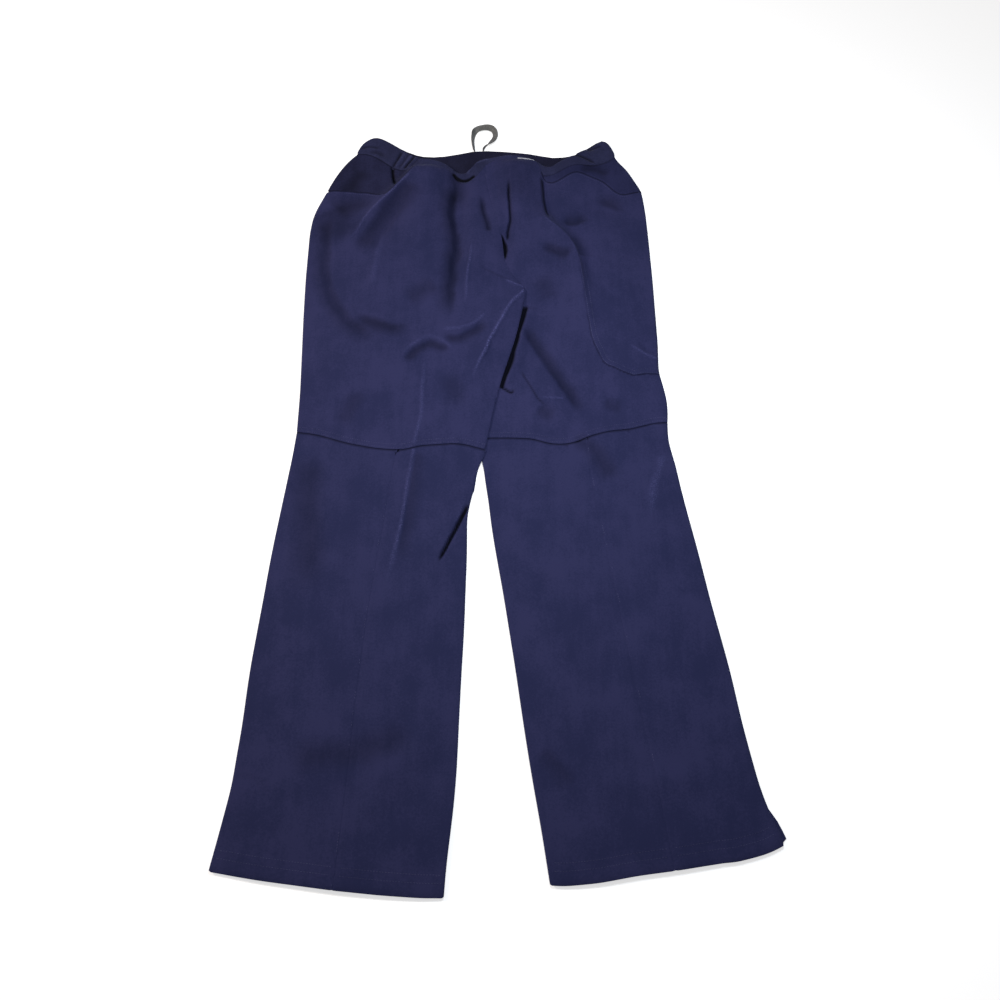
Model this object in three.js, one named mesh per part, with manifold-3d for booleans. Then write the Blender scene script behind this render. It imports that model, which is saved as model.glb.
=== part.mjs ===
// Scrub trousers lying flat on a table, back side up.
// Millimetres. X is to the viewer's right, Y runs from the hems to the waist, Z is up.
// The origin is on the table, under the middle of the garment.
//
// The front panels lie flat on the table. The back panels lie on them as a second layer,
// and one height function gives every back piece its puff, ridges and troughs.

import * as THREE from "three";
import { mergeVertices } from "three/addons/utils/BufferGeometryUtils.js";
import Module from "manifold-3d";

// Cloth
const FRONT_WALL = 1.6; // the layer that lies on the table
const BACK_WALL = 2.0; // the layer above it
const BAND_WALL = 3.0; // front waistband: cloth folded round its elastic
const POCKET_WALL = 1.5;
const LABEL_WALL = 0.8;
const SEAM = 0.3; // gap between two pieces at a seam, and between two layers
const FLOOR_GAP = 0.3; // the drawstring stays this far above the table

// Lowest height of the upper layer's outer face, over the front panels and over the front band
const LOWEST = FRONT_WALL + SEAM + BACK_WALL;
const LOWEST_AT_BAND = BAND_WALL + SEAM + BACK_WALL + 0.1;
const BAND_RISE_FROM = 425;
const BAND_RISE_TO = 439;

// Places that several pieces share
const CROTCH_Y = 240;
const EDGE_TAPER = 14; // folds die out over this distance from an open edge
const SEWN_TAPER = 3; // above the crotch the inner edge is sewn, and folds run up to it
const PUFF_POWER = 2.6; // how square the cross-section of a puffed panel is
const LOWEST_SOFT = 1; // how softly the layer comes to rest on what is under it

const NAVY = 0x232447;
const NAVY_DARK = 0x1f203f;
const GREY = 0x7b7b78;
const LILAC = 0x8d8fa3;

// Rows of bare numbers get their column names here, so every table below reads as names.
function table(columns, rows) {
  const names = columns.split(" ");
  return rows.map((row) => Object.fromEntries(names.map((name, i) => [name, row[i]])));
}

// Outline of the left leg, on its outer side, from the waist corner to the hem
const LEFT_OUTER = table("y x", [
  [513, -182], [508, -190], [500, -198], [486, -204], [481, -204], [474, -210], [464, -218],
  [452, -225], [438, -232], [424, -238], [413, -242], [392, -250], [375, -256], [361, -259],
  [336, -261], [258, -260], [200, -258], [160, -256], [120, -254], [80, -252], [22, -251],
  [0, -252], [-40, -256], [-80, -260], [-140, -266], [-200, -270], [-280, -276], [-360, -278],
  [-392, -282], [-405, -281], [-440, -287], [-480, -293], [-489, -295],
]);

// Centre back seam down to the crotch, then the free inner edge of the left leg to its hem
const LEFT_INNER = table("y x", [
  [513, -20], [449, -20], [425, -20], [395, -14], [355, -4], [318, 4], [290, 6], [266, 13],
  [250, 24], [CROTCH_Y, 35.5], [229, 33], [214, 30], [194, 27], [154, 18], [120, 8], [93, 0],
  [56, -8], [16, -15], [-3, -20], [-20, -27], [-42, -29], [-57, -31], [-72, -37], [-82, -40],
  [-100, -39.5], [-150, -39], [-180, -40], [-240, -41], [-280, -43], [-340, -45], [-380, -46],
  [-400, -47], [-440, -50], [-480, -55], [-514, -57],
]);

// The same seam, then the inner edge of the right leg, which runs under the left one
const RIGHT_INNER = table("y x", [
  [513, -20], [449, -20], [425, -20], [395, -14], [355, -4], [318, 4], [290, 6], [266, 13],
  [250, 24], [CROTCH_Y, 35.5], [221, 32], [206, 24], [194, 18.5], [154, 8], [119, -2], [92, -9],
  [56, -15], [30, -18.5], [14, -20], [0, -21], [-22, -20], [-42, -18], [-62, -14], [-82, -12],
  [-102, -10], [-142, -4], [-181, 3], [-221, 9], [-281, 18], [-341, 26], [-401, 35],
  [-441, 42], [-481, 48], [-502, 51],
]);

const RIGHT_OUTER = table("y x", [
  [513, 148], [507.5, 150], [499.5, 157], [490, 161], [483, 163.5], [475, 163.5], [463, 170],
  [451, 180], [431, 189], [421, 194], [411.5, 198], [396, 200], [366, 202], [326, 203],
  [257, 204], [157, 204], [133, 203], [110, 202], [96, 205], [73, 209], [60, 210],
  [36.5, 208], [13, 207], [1, 205], [-14, 212], [-27, 214], [-47, 216], [-87, 222],
  [-132, 230], [-201, 240], [-281, 254], [-341, 261], [-381, 268], [-412, 273], [-422, 276],
]);
// Below the top of its side vent the right hem spreads, and the lower layer shows beside it.
const RIGHT_VENT_BACK = table("y x", [[-434, 280], [-446, 285], [-459, 290]]);
const RIGHT_VENT_FRONT = table("y x", [[-433, 283], [-441, 288], [-450, 292], [-458, 295]]);

// Top edge of each back panel from left to right, and how deep the waistband is above it.
// Where a yoke comes between, the band column is zero and the yoke has its own row.
const LEFT_TOP = table("x y band", [
  [-242, 413, 0], [-221, 412.5, 0], [-200, 410.5, 0], [-180, 407, 0], [-163, 391, 0],
  [-148, 409, 0], [-134, 430, 0], [-122, 446, 22.5], [-111, 450.5, 13.5], [-98, 451.5, 10.5],
  [-85, 450.5, 10.5], [-76, 446.5, 11], [-69, 439, 12.5], [-62, 431, 15], [-55, 426, 17.5],
  [-47, 425, 19.5], [-40, 426.5, 26], [-33, 432, 30.5], [-27, 440, 27], [-20, 449, 20.5],
]);
const RIGHT_TOP = table("x y band", [
  [-20, 449, 20.5], [-14, 452.5, 17.5], [-6, 454, 16.5], [8, 454.5, 16], [22, 454, 15.5],
  [36, 453.5, 14], [48, 452.5, 13], [55, 448, 14.5], [60, 438, 20], [64, 428, 0],
  [72, 424.5, 0], [82, 428, 0], [92, 435, 0], [101, 440.5, 0], [110, 442, 0],
  [121, 437.5, 0], [133, 432.5, 0], [146, 428, 0], [157, 414, 0], [170, 401.5, 0],
  [184, 408, 0], [198, 411.5, 0],
]);
const LEFT_YOKE_TOP = table("x y band", [
  [-204, 481, 5], [-198, 481.5, 18.5], [-190, 480.5, 27.5], [-182, 477, 36], [-172, 470.5, 40.5],
  [-160, 459.5, 43.5], [-148, 450.5, 42.5], [-135, 445.5, 36.5], [-122, 446, 22.5],
]);
const RIGHT_YOKE_TOP = table("x y band", [
  [60, 438, 20], [72, 439.5, 14.5], [82, 444, 18], [92, 450, 16.5], [101, 453.3, 16],
  [110, 454.5, 18], [121, 454, 27], [133, 455, 36], [142, 459, 42], [150, 463, 44.5],
  [157, 468.5, 31], [161, 472, 18], [163.5, 475, 8],
]);
const LEFT_RIDGE_FROM = 4; // rows of LEFT_TOP where the seat's fold leans over the left yoke
const LEFT_RIDGE_TO = 7;
const RIGHT_YOKE_FROM = 9; // first row of RIGHT_TOP under the right yoke

// Seams across the knees and down the calves, and the hems
const LEFT_KNEE = table("x y", [
  [-251, 22], [-239, 20.5], [-225, 17.5], [-211, 13], [-197, 8], [-183, 4], [-169, 1],
  [-155, -2], [-141, -3.5], [-127, -4.5], [-115, -4], [-105, -0.5], [-95, 1.5], [-85, 2.3],
  [-75, 3], [-64, 4], [-53, 4.3], [-42, 3], [-31, 0], [-20, -3],
]);
const RIGHT_KNEE = table("x y", [
  [-20, 14], [-8, 13.7], [4, 13.3], [16, 12.8], [28, 12.2], [40, 11], [50, 8], [59, 4.6],
  [70, 3.3], [82, 3.6], [91, 6], [100, 9.8], [105, 12.2], [115, 16.3], [125, 19.3],
  [136, 22], [147, 23.6], [158, 24.5], [169, 27.5], [182, 31.5], [195, 35.3], [208, 36.5],
]);
const LEFT_CALF_ROW = 9; // the row of each knee seam where the calf seam starts
const RIGHT_CALF_ROW = 12;
const LEFT_CALF_SEAM = table("x y", [
  [-127, -4.5], [-131, -42], [-135, -82], [-139, -122], [-143, -151], [-147, -181],
  [-150, -221], [-153, -261], [-156, -301], [-158, -341], [-160, -381], [-162, -420],
  [-164, -460], [-168, -507],
]);
const RIGHT_CALF_SEAM = table("x y", [
  [105, 12.2], [108, -22], [112, -62], [118, -102], [125, -141], [131, -181], [137, -221],
  [143, -261], [149, -301], [155, -341], [161, -381], [168, -421], [173, -460], [177, -487.5],
]);
const LEFT_HEM = table("x y", [
  [-295, -489], [-260, -495], [-240, -498], [-200, -503], [-168, -507], [-120, -511.5],
  [-80, -514], [-57, -514],
]);
const RIGHT_HEM = table("x y", [
  [51, -502], [65, -503], [100, -500], [140, -493], [177, -487.5], [200, -484], [240, -479],
  [270, -474], [287, -466],
]);

// Front waistband, which lies on the table with its inside up: its lower and upper edges
const FRONT_BAND = table("x low high", [
  [-204, 480, 485], [-196, 479, 500], [-183, 474, 511.5], [-172, 469, 510], [-160, 463, 503],
  [-148, 457, 495], [-135, 450, 487], [-120, 444, 480], [-110, 441, 477.5], [-95, 440, 476.5],
  [-80, 441.5, 478], [-60, 445, 482], [-40, 449.5, 487], [-20, 451.5, 488.5],
  [0, 451, 487.5], [20, 449, 485.5], [40, 446, 483], [60, 441.5, 478.5], [75, 438.5, 475.5],
  [90, 439, 476], [100, 441, 478], [110, 444.5, 481.5], [120, 450, 488], [130, 457, 495.5],
  [140, 465, 503.5], [148, 471, 508], [155, 474, 502], [160, 475, 490], [163.5, 475.5, 483],
]);
const FRONT_CENTRE = table("x y", [[35.5, CROTCH_Y], [13, 300], [-8, 380], [-18, 451]]);

// Height of the upper layer's outer face at the outer edge, the middle and the inner edge
const LEFT_SECTIONS = table("y outer middle inner", [
  [513, 5.6, 6.6, 8], [480, 5.5, 7, 8], [440, 5.5, 8, 8], [400, 4.6, 10, 9], [340, 4.3, 12, 11],
  [260, 4.2, 12.5, 11], [CROTCH_Y, 4.2, 12.5, 10], [200, 4.1, 12, 9], [120, 4.1, 11, 8],
  [40, 4, 9, 7.2], [0, 3.9, 8, 6.4], [-80, 3.9, 7.4, 5], [-200, 3.9, 7.2, 3.9],
  [-400, 3.9, 7, 3.9], [-514, 3.9, 6.4, 3.9],
]);
const RIGHT_SECTIONS = table("y outer middle inner", [
  [513, 5.6, 6.6, 8], [480, 5.5, 7, 8], [440, 5.5, 9, 8], [400, 4.6, 10, 9], [340, 4.3, 11.5, 11],
  [260, 4.2, 11.5, 11], [CROTCH_Y, 4.2, 11.5, 10], [230, 4.2, 11.5, 5.2], [214, 4.2, 11.2, 4.2],
  [200, 4.1, 11, 3.9], [120, 4.1, 9.5, 3.9], [40, 4, 8.6, 3.9], [0, 3.9, 8, 3.9],
  [-80, 3.9, 7.4, 3.9], [-200, 3.9, 7.2, 3.9], [-400, 3.9, 7, 3.9], [-514, 3.9, 6.4, 3.9],
]);

// Ridges and troughs of the upper layer. A fold runs along its path; its rise is above zero
// on a ridge and below zero in a trough. It dies out over the left and right widths beside
// the path, as seen going along it, and over the start and end lengths along it.
const FOLDS = table("name rise left right start end path", [
  ["left crown, waistband", 7, 32, 40, 1, 70, [[-100, 478], [-102, 440], [-106, 400]]],
  ["left crown", 9, 30, 42, 9, 170, [[-97, 451.5], [-100, 420], [-108, 370], [-120, 300], [-130, 240]]],
  ["deep valley", -8.5, 18, 18, 1, 120,
    [[-50, 450], [-54, 415], [-57, 385], [-57, 345], [-56, 305], [-59, 265], [-64, 225], [-68, 190]]],
  ["ridge beside the valley", 3.5, 18, 14, 60, 30, [[-40, 340], [-43, 287], [-45, 248], [-48, 208], [-53, 180]]],
  ["middle crown, waistband", 10, 40, 46, 1, 90, [[20, 490], [22, 450], [22, 405]]],
  ["middle crown", 9, 36, 42, 9, 140, [[22, 454.5], [24, 420], [26, 380], [35, 320], [50, 260]]],
  ["dip beside the middle crown", -6, 11, 9, 10, 25, [[66, 470], [66, 430], [68, 395], [70, 350]]],
  ["right crown", 8, 42, 32, 1, 90, [[112, 490], [110, 440], [112, 390]]],
  ["yoke fold", 8, 24, 12, 12, 45,
    [[-119, 452], [-133, 428], [-148, 406], [-162, 390], [-176, 372], [-187, 350], [-197, 332], [-213, 312]]],
  ["trough under the yoke fold", -4, 18, 14, 20, 30, [[-128, 400], [-150, 370], [-165, 335], [-185, 305]]],
  ["hollow beside the yoke fold", -3, 30, 30, 30, 30, [[-205, 445], [-202, 405], [-215, 365]]],
  ["left bulge", 3, 30, 14, 30, 30, [[-158, 330], [-164, 290], [-168, 250], [-165, 222]]],
  ["left side arc", -3, 18, 14, 30, 25, [[-243, 320], [-238, 282], [-226, 242], [-212, 206], [-195, 190]]],
  ["upper seat smile", -4, 11, 11, 18, 18, [[-198, 197], [-176, 189], [-155, 176], [-130, 171], [-110, 170]]],
  ["lower seat smile", -3.5, 11, 11, 20, 18, [[-238, 183], [-200, 167], [-170, 157], [-146, 154]]],
  ["thigh pinch", 4, 11, 11, 15, 15, [[-114, 166], [-95, 172], [-75, 170], [-55, 173], [-34, 182]]],
  ["trough under the pinch", -4, 10, 11, 15, 15, [[-104, 148], [-90, 155], [-72, 158], [-55, 155], [-38, 159], [-24, 184]]],
  ["inner thigh ridge", 4.5, 12, 16, 10, 45,
    [[32, 236], [20, 214], [8, 196], [-2, 181], [-10, 163], [-17, 148], [-28, 120], [-38, 95]]],
  ["crotch crease", -4, 12, 9, 15, 12, [[-27, 284], [0, 270], [20, 262], [42, 250]]],
  ["centre notch", -6.5, 11, 11, 45, 20, [[12, 400], [12, 365], [10, 325], [6, 296], [5, 278]]],
  ["groove left of the centre", -3, 9, 9, 20, 14, [[-23, 402], [-19, 365], [-14, 328]]],
  ["column ridge", 6, 12, 26, 18, 40,
    [[57, 374], [70, 348], [82, 332], [95, 314], [102, 297], [105, 270], [108, 235], [112, 200], [114, 165]]],
  ["trough beside the column", -3, 15, 10, 20, 30, [[84, 356], [104, 330], [116, 300], [121, 268], [125, 235]]],
  ["dent above the pocket", -3, 12, 12, 18, 18, [[128, 382], [155, 376], [182, 371]]],
  ["dent under the column", -3, 12, 14, 15, 15, [[52, 298], [75, 306], [97, 300]]],
  ["thigh trough", -5.5, 14, 13, 18, 28,
    [[34, 190], [46, 160], [60, 138], [72, 113], [84, 90], [98, 70], [116, 44]]],
  ["calf overlap", 2.6, 10, 50, 25, 55,
    [[-28, -22], [-34, -60], [-42, -82], [-50, -98], [-58, -115], [-65, -130], [-74, -148], [-98, -195]]],
  ["left calf ridge", 2.5, 16, 18, 25, 25, [[-58, -328], [-90, -370], [-130, -410], [-152, -432]]],
  ["left calf trough", -2, 16, 16, 20, 25, [[-56, -370], [-80, -402], [-100, -422], [-126, -436]]],
  ["right calf bulge", 2, 18, 18, 20, 30, [[196, -6], [190, -35], [186, -60], [183, -105]]],
]);

// Cargo pocket on the right leg: its lower corner is cut off at a slant
const POCKET = table("x y", [
  [104, 292], [107, 262], [111, 228], [114, 194], [118, 162], [122, 148], [131, 124],
  [137, 117.5], [145, 114.5], [157, 108], [170, 102.5], [184, 106], [206, 106.5], [206, 292],
]);

const LABEL = { left: 25, right: 49, low: 458.8, high: 466.2 };

// Drawstring: flat tape standing on its edge, out of the front band and back into it
const TAPE_WIDTH = 9;
const TAPE_THICK = 1.2;
const TAPE_ROUTE = table("x y", [
  [-37.2, 488.2], [-38.6, 499], [-39.4, 509], [-38.8, 518], [-37, 525.5], [-32.8, 530.8],
  [-26.3, 533.6], [-19, 534.6], [-12.6, 532.4], [-8.4, 527.4], [-6.8, 520.8], [-7.6, 514],
  [-10.8, 508], [-15.9, 501.8], [-21.4, 496], [-24.6, 489.6],
]);
const TAPE_STEPS = 26;

// Plain sums
const clamp01 = (t) => Math.min(1, Math.max(0, t));
const mix = (a, b, t) => a + (b - a) * t;
const smooth = (t) => clamp01(t) ** 2 * (3 - 2 * clamp01(t));

// The value of one column at a place in another column, straight between the rows
function lookUp(rows, key, column, at) {
  const falling = rows[0][key] > rows[rows.length - 1][key];
  const order = falling ? -1 : 1;
  if ((at - rows[0][key]) * order <= 0) return rows[0][column];
  for (let i = 1; i < rows.length; i += 1) {
    const a = rows[i - 1];
    const b = rows[i];
    if ((b[key] - at) * order >= 0) return mix(a[column], b[column], (at - a[key]) / (b[key] - a[key]));
  }
  return rows[rows.length - 1][column];
}

const RIGHT_OUTER_BACK = [...RIGHT_OUTER, ...RIGHT_VENT_BACK];
const LEGS = {
  left: { outer: LEFT_OUTER, inner: LEFT_INNER, sections: LEFT_SECTIONS },
  right: { outer: RIGHT_OUTER_BACK, inner: RIGHT_INNER, sections: RIGHT_SECTIONS },
};

// Smooth plan paths of the folds, as close-set points with their length so far
const FOLD_STEP = 6;
for (const fold of FOLDS) {
  const curve = new THREE.SplineCurve(fold.path.map(([x, y]) => new THREE.Vector2(x, y)));
  fold.points = curve.getSpacedPoints(Math.ceil(curve.getLength() / FOLD_STEP));
  fold.length = curve.getLength();
}

// How much one fold lifts the cloth at a place
function foldLift(fold, x, y) {
  let nearest = Infinity;
  let along = 0;
  let side = 1;
  const step = fold.length / (fold.points.length - 1);
  for (let i = 1; i < fold.points.length; i += 1) {
    const a = fold.points[i - 1];
    const b = fold.points[i];
    const dx = b.x - a.x;
    const dy = b.y - a.y;
    const t = clamp01(((x - a.x) * dx + (y - a.y) * dy) / (dx * dx + dy * dy));
    const away = Math.hypot(x - a.x - t * dx, y - a.y - t * dy);
    if (away < nearest) {
      nearest = away;
      along = (i - 1 + t) * step;
      side = dx * (y - a.y) - dy * (x - a.x);
    }
  }
  const width = side > 0 ? fold.left : fold.right;
  const across = 1 - smooth(nearest / width);
  return fold.rise * across * smooth(along / fold.start) * smooth((fold.length - along) / fold.end);
}

// Height of the outer face of the upper layer
function height(leg, x, y) {
  const { outer, inner, sections } = LEGS[leg];
  const outerX = lookUp(outer, "y", "x", y);
  const innerX = lookUp(inner, "y", "x", y);
  const u = clamp01((x - outerX) / (innerX - outerX));
  const [zOuter, zMiddle, zInner] = ["outer", "middle", "inner"].map((c) => lookUp(sections, "y", c, y));
  const puff = (zMiddle - (zOuter + zInner) / 2) * (1 - Math.abs(2 * u - 1) ** PUFF_POWER);
  const base = mix(zOuter, zInner, u) + puff;
  const toInner = Math.abs(innerX - x) + SEWN_TAPER * Math.max(0, y - CROTCH_Y);
  const taper = smooth(Math.min(Math.abs(x - outerX), toInner) / EDGE_TAPER);
  const folds = FOLDS.reduce((sum, fold) => sum + foldLift(fold, x, y), 0);
  const bandRise = smooth((y - BAND_RISE_FROM) / (BAND_RISE_TO - BAND_RISE_FROM));
  const lowest = mix(LOWEST, LOWEST_AT_BAND, bandRise);
  const above = base + folds * taper - lowest;
  return lowest + (above + Math.hypot(above, LOWEST_SOFT)) / 2;
}

// A place along an edge of a panel, by the share of its rows passed
function alongRows(rows, t) {
  const s = clamp01(t) * (rows.length - 1);
  const i = Math.min(rows.length - 2, Math.floor(s));
  return [mix(rows[i].x, rows[i + 1].x, s - i), mix(rows[i].y, rows[i + 1].y, s - i)];
}

// Rows spread evenly between two places of an edge; ease below 1 sets them closer at the start
function spread(rows, key, from, to, count, ease = 1) {
  const other = key === "y" ? "x" : "y";
  return Array.from({ length: count + 1 }, (_, i) => {
    const t = i / count;
    const at = mix(from, to, t * (ease + (1 - ease) * t));
    return { [key]: at, [other]: lookUp(rows, key, other, at) };
  });
}

const distance = (a, b) => Math.hypot(a[0] - b[0], a[1] - b[1]);

// A four-sided plan patch filled between its edges: top and bottom run left to right,
// left and right run from top to bottom. It keeps half the seam gap inside each edge.
function patch({ top, bottom, left, right }, u, v) {
  const wide = distance(alongRows(left, v), alongRows(right, v));
  const tall = distance(alongRows(top, u), alongRows(bottom, u));
  const uu = mix(SEAM / 2 / wide, 1 - SEAM / 2 / wide, u);
  const vv = mix(SEAM / 2 / tall, 1 - SEAM / 2 / tall, v);
  return [0, 1].map((k) => {
    const rowWise = mix(alongRows(top, uu)[k], alongRows(bottom, uu)[k], vv);
    const sideWise = mix(alongRows(left, vv)[k], alongRows(right, vv)[k], uu);
    const high = mix(alongRows(top, 0)[k], alongRows(top, 1)[k], uu);
    const low = mix(alongRows(bottom, 0)[k], alongRows(bottom, 1)[k], uu);
    return rowWise + sideWise - mix(high, low, vv);
  });
}

// Plan points of a patch, as columns of rows
function planGrid(edges, columns, rows) {
  return Array.from({ length: columns + 1 }, (_, i) =>
    Array.from({ length: rows + 1 }, (__, j) => patch(edges, i / columns, j / rows)));
}

// A closed wall of cloth over a plan grid, between two height functions
function clothWall(grid, outerFace, innerFace) {
  const columns = grid.length;
  const rows = grid[0].length;
  const positions = [];
  for (const face of [outerFace, innerFace]) {
    for (const column of grid) for (const [x, y] of column) positions.push(x, y, face(x, y));
  }
  const at = (layer, i, j) => (layer * columns + i) * rows + j;
  const index = [];
  for (let i = 0; i + 1 < columns; i += 1) {
    for (let j = 0; j + 1 < rows; j += 1) {
      const [a, b, c, d] = [at(0, i, j), at(0, i, j + 1), at(0, i + 1, j + 1), at(0, i + 1, j)];
      const [e, f, g, h] = [at(1, i, j), at(1, i, j + 1), at(1, i + 1, j + 1), at(1, i + 1, j)];
      index.push(a, b, c, a, c, d, e, g, f, e, h, g);
    }
  }
  const rim = [];
  for (let j = 0; j + 1 < rows; j += 1) rim.push([0, j, 0, j + 1]);
  for (let i = 0; i + 1 < columns; i += 1) rim.push([i, rows - 1, i + 1, rows - 1]);
  for (let j = rows - 1; j > 0; j -= 1) rim.push([columns - 1, j, columns - 1, j - 1]);
  for (let i = columns - 1; i > 0; i -= 1) rim.push([i, 0, i - 1, 0]);
  for (const [i, j, k, l] of rim) {
    const [a, b, c, d] = [at(0, i, j), at(1, i, j), at(1, k, l), at(0, k, l)];
    index.push(a, b, c, a, c, d);
  }
  const geometry = new THREE.BufferGeometry();
  geometry.setAttribute("position", new THREE.Float32BufferAttribute(positions, 3));
  geometry.setIndex(index);
  return geometry;
}

// A flat piece of even thickness, standing on a level
function flatPiece(points, level, thick) {
  const shape = new THREE.Shape(points.map(([x, y]) => new THREE.Vector2(x, y)));
  const geometry = new THREE.ExtrudeGeometry(shape, { depth: thick, bevelEnabled: false });
  return geometry.translate(0, 0, level);
}

const wasm = await Module();
wasm.setup();

function toSolid(geometry) {
  const bare = geometry.clone();
  for (const name of ["normal", "uv"]) bare.deleteAttribute(name);
  const merged = mergeVertices(bare, 1e-4);
  return new wasm.Manifold(new wasm.Mesh({
    numProp: 3,
    vertProperties: merged.attributes.position.array,
    triVerts: new Uint32Array(merged.index.array),
  }));
}

// What two closed pieces have in common
function common(one, other) {
  const mesh = toSolid(one).intersect(toSolid(other)).getMesh();
  const geometry = new THREE.BufferGeometry();
  geometry.setAttribute("position", new THREE.Float32BufferAttribute(mesh.vertProperties, 3));
  return geometry.setIndex([...mesh.triVerts]);
}

const scrubTrousers = new THREE.Group();
scrubTrousers.name = "scrub_trousers";

function addPiece(name, geometry, colour, roughness = 0.9) {
  geometry.computeVertexNormals();
  const material = new THREE.MeshStandardMaterial({ color: colour, roughness, metalness: 0 });
  const mesh = new THREE.Mesh(geometry, material);
  mesh.name = name;
  scrubTrousers.add(mesh);
}

// Front legs: flat on the table, meeting at the centre front and along their hidden inner edges
const HALF = SEAM / 2;
const LEFT_LEG_TOP = 479; // the legs' own outlines end here, at the waistband
const RIGHT_LEG_TOP = 474;
const LEGS_PART = -10; // towards the hems from here the two legs lie apart
const CENTRE_CLEAR = 3; // the band's own corners this near the centre front are left to the legs
const between = (rows, high, low = -Infinity) => rows.filter(({ y }) => y <= high && y >= low);
const places = (rows, dx = 0, dy = 0) => rows.map(({ x, y }) => [x + dx, y + dy]);
const MIDDLE = [...[...FRONT_CENTRE].reverse(), ...between(RIGHT_INNER, CROTCH_Y, LEGS_PART).slice(1)];
const BAND_LOW = FRONT_BAND.map(({ x, low }) => ({ x, y: low }));
const CENTRE_FRONT_X = FRONT_CENTRE[FRONT_CENTRE.length - 1].x;

const frontLeft = [
  ...places(between(LEFT_OUTER, LEFT_LEG_TOP)),
  ...places(LEFT_HEM.slice(1)),
  ...places(between(LEFT_INNER, LEGS_PART).slice(0, -1).reverse()),
  ...places([...MIDDLE].reverse(), -HALF, -SEAM),
  ...places(BAND_LOW.filter(({ x }) => x < CENTRE_FRONT_X - CENTRE_CLEAR).reverse(), 0, -SEAM),
];
const frontRight = [
  ...places(MIDDLE, HALF, -SEAM),
  ...places(between(RIGHT_INNER, LEGS_PART).slice(0, -1)),
  ...places(RIGHT_HEM),
  ...places([...RIGHT_VENT_FRONT].reverse()),
  ...places(between(RIGHT_OUTER, RIGHT_LEG_TOP).reverse()),
  ...places(BAND_LOW.filter(({ x }) => x > CENTRE_FRONT_X + CENTRE_CLEAR).reverse(), 0, -SEAM),
];
addPiece("front_left_leg", flatPiece(frontLeft, 0, FRONT_WALL), NAVY);
addPiece("front_right_leg", flatPiece(frontRight, 0, FRONT_WALL), NAVY);

const frontBand = [
  ...FRONT_BAND.map(({ x, low }) => [x, low]),
  ...[...FRONT_BAND].reverse().map(({ x, high }) => [x, high]),
];
addPiece("front_waistband", flatPiece(frontBand, 0, BAND_WALL), NAVY_DARK);

// Upper legs at the back: from the waist over the seat to the knee seam
const SEAT_ROWS = 17;
const THIGH_ROWS = 12;
const CALF_ROWS = 18;
const SEAT_EASE = 0.62; // rows lie closer near the waist, where the folds are steepest
const SIDE_CROTCH_Y = 215; // the row through the crotch meets the side seam here

function upperEdge(rows, top, crotch, knee) {
  const seat = spread(rows, "y", top, crotch, SEAT_ROWS, SEAT_EASE);
  return [...seat, ...spread(rows, "y", crotch, knee, THIGH_ROWS).slice(1)];
}

const first = (rows) => rows[0];
const last = (rows) => rows[rows.length - 1];
const leftSide = upperEdge(LEFT_OUTER, first(LEFT_TOP).y, SIDE_CROTCH_Y, first(LEFT_KNEE).y);
const leftMiddle = upperEdge(LEFT_INNER, last(LEFT_TOP).y, CROTCH_Y, last(LEFT_KNEE).y);
const rightMiddle = upperEdge(RIGHT_INNER, first(RIGHT_TOP).y, CROTCH_Y, first(RIGHT_KNEE).y);
const rightSide = upperEdge(RIGHT_OUTER, last(RIGHT_TOP).y, SIDE_CROTCH_Y, last(RIGHT_KNEE).y);

const leftFace = (x, y) => height("left", x, y);
const rightFace = (x, y) => height("right", x, y);
const lowered = (face, by) => (x, y) => face(x, y) - by;

function backPanel(name, face, edges, columns, rows) {
  const grid = planGrid(edges, columns, rows);
  addPiece(name, clothWall(grid, face, lowered(face, BACK_WALL)), NAVY);
  return grid;
}

backPanel("back_left_upper_leg", leftFace,
  { top: LEFT_TOP, bottom: LEFT_KNEE, left: leftSide, right: leftMiddle },
  LEFT_TOP.length - 1, SEAT_ROWS + THIGH_ROWS);
const rightUpperGrid = backPanel("back_right_upper_leg", rightFace,
  { top: RIGHT_TOP, bottom: RIGHT_KNEE, left: rightMiddle, right: rightSide },
  RIGHT_TOP.length - 1, SEAT_ROWS + THIGH_ROWS);

// Lower legs at the back: two panels each, joined by the calf seam
function lowerLeg(side, face, knee, seamRow, seam, hem, outlines) {
  const calf = spread(seam, "y", first(seam).y, last(seam).y, CALF_ROWS);
  const [outerEnds, innerEnds] = outlines.map(({ rows, from, to }) => spread(rows, "y", from, to, CALF_ROWS));
  const parts = [
    { name: "outer", rows: side === "left" ? [0, seamRow] : [seamRow, knee.length - 1], edge: outerEnds },
    { name: "inner", rows: side === "left" ? [seamRow, knee.length - 1] : [0, seamRow], edge: innerEnds },
  ];
  for (const { name, rows, edge } of parts) {
    const onLeft = (side === "left") === (name === "outer");
    const [left, right] = onLeft ? [edge, calf] : [calf, edge];
    const columns = rows[1] - rows[0];
    const bottom = spread(hem, "x", last(left).x, last(right).x, columns);
    const top = knee.slice(rows[0], rows[1] + 1);
    backPanel(`back_${side}_lower_leg_${name}`, face, { top, bottom, left, right }, columns, CALF_ROWS);
  }
}

lowerLeg("left", leftFace, LEFT_KNEE, LEFT_CALF_ROW, LEFT_CALF_SEAM, LEFT_HEM, [
  { rows: LEFT_OUTER, from: first(LEFT_KNEE).y, to: last(LEFT_OUTER).y },
  { rows: LEFT_INNER, from: last(LEFT_KNEE).y, to: last(LEFT_INNER).y },
]);
lowerLeg("right", rightFace, RIGHT_KNEE, RIGHT_CALF_ROW, RIGHT_CALF_SEAM,
  [...RIGHT_HEM.slice(0, -2), last(RIGHT_VENT_BACK)], [
    { rows: RIGHT_OUTER_BACK, from: last(RIGHT_KNEE).y, to: last(RIGHT_VENT_BACK).y },
    { rows: RIGHT_INNER, from: first(RIGHT_KNEE).y, to: last(RIGHT_INNER).y },
  ]);

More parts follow.
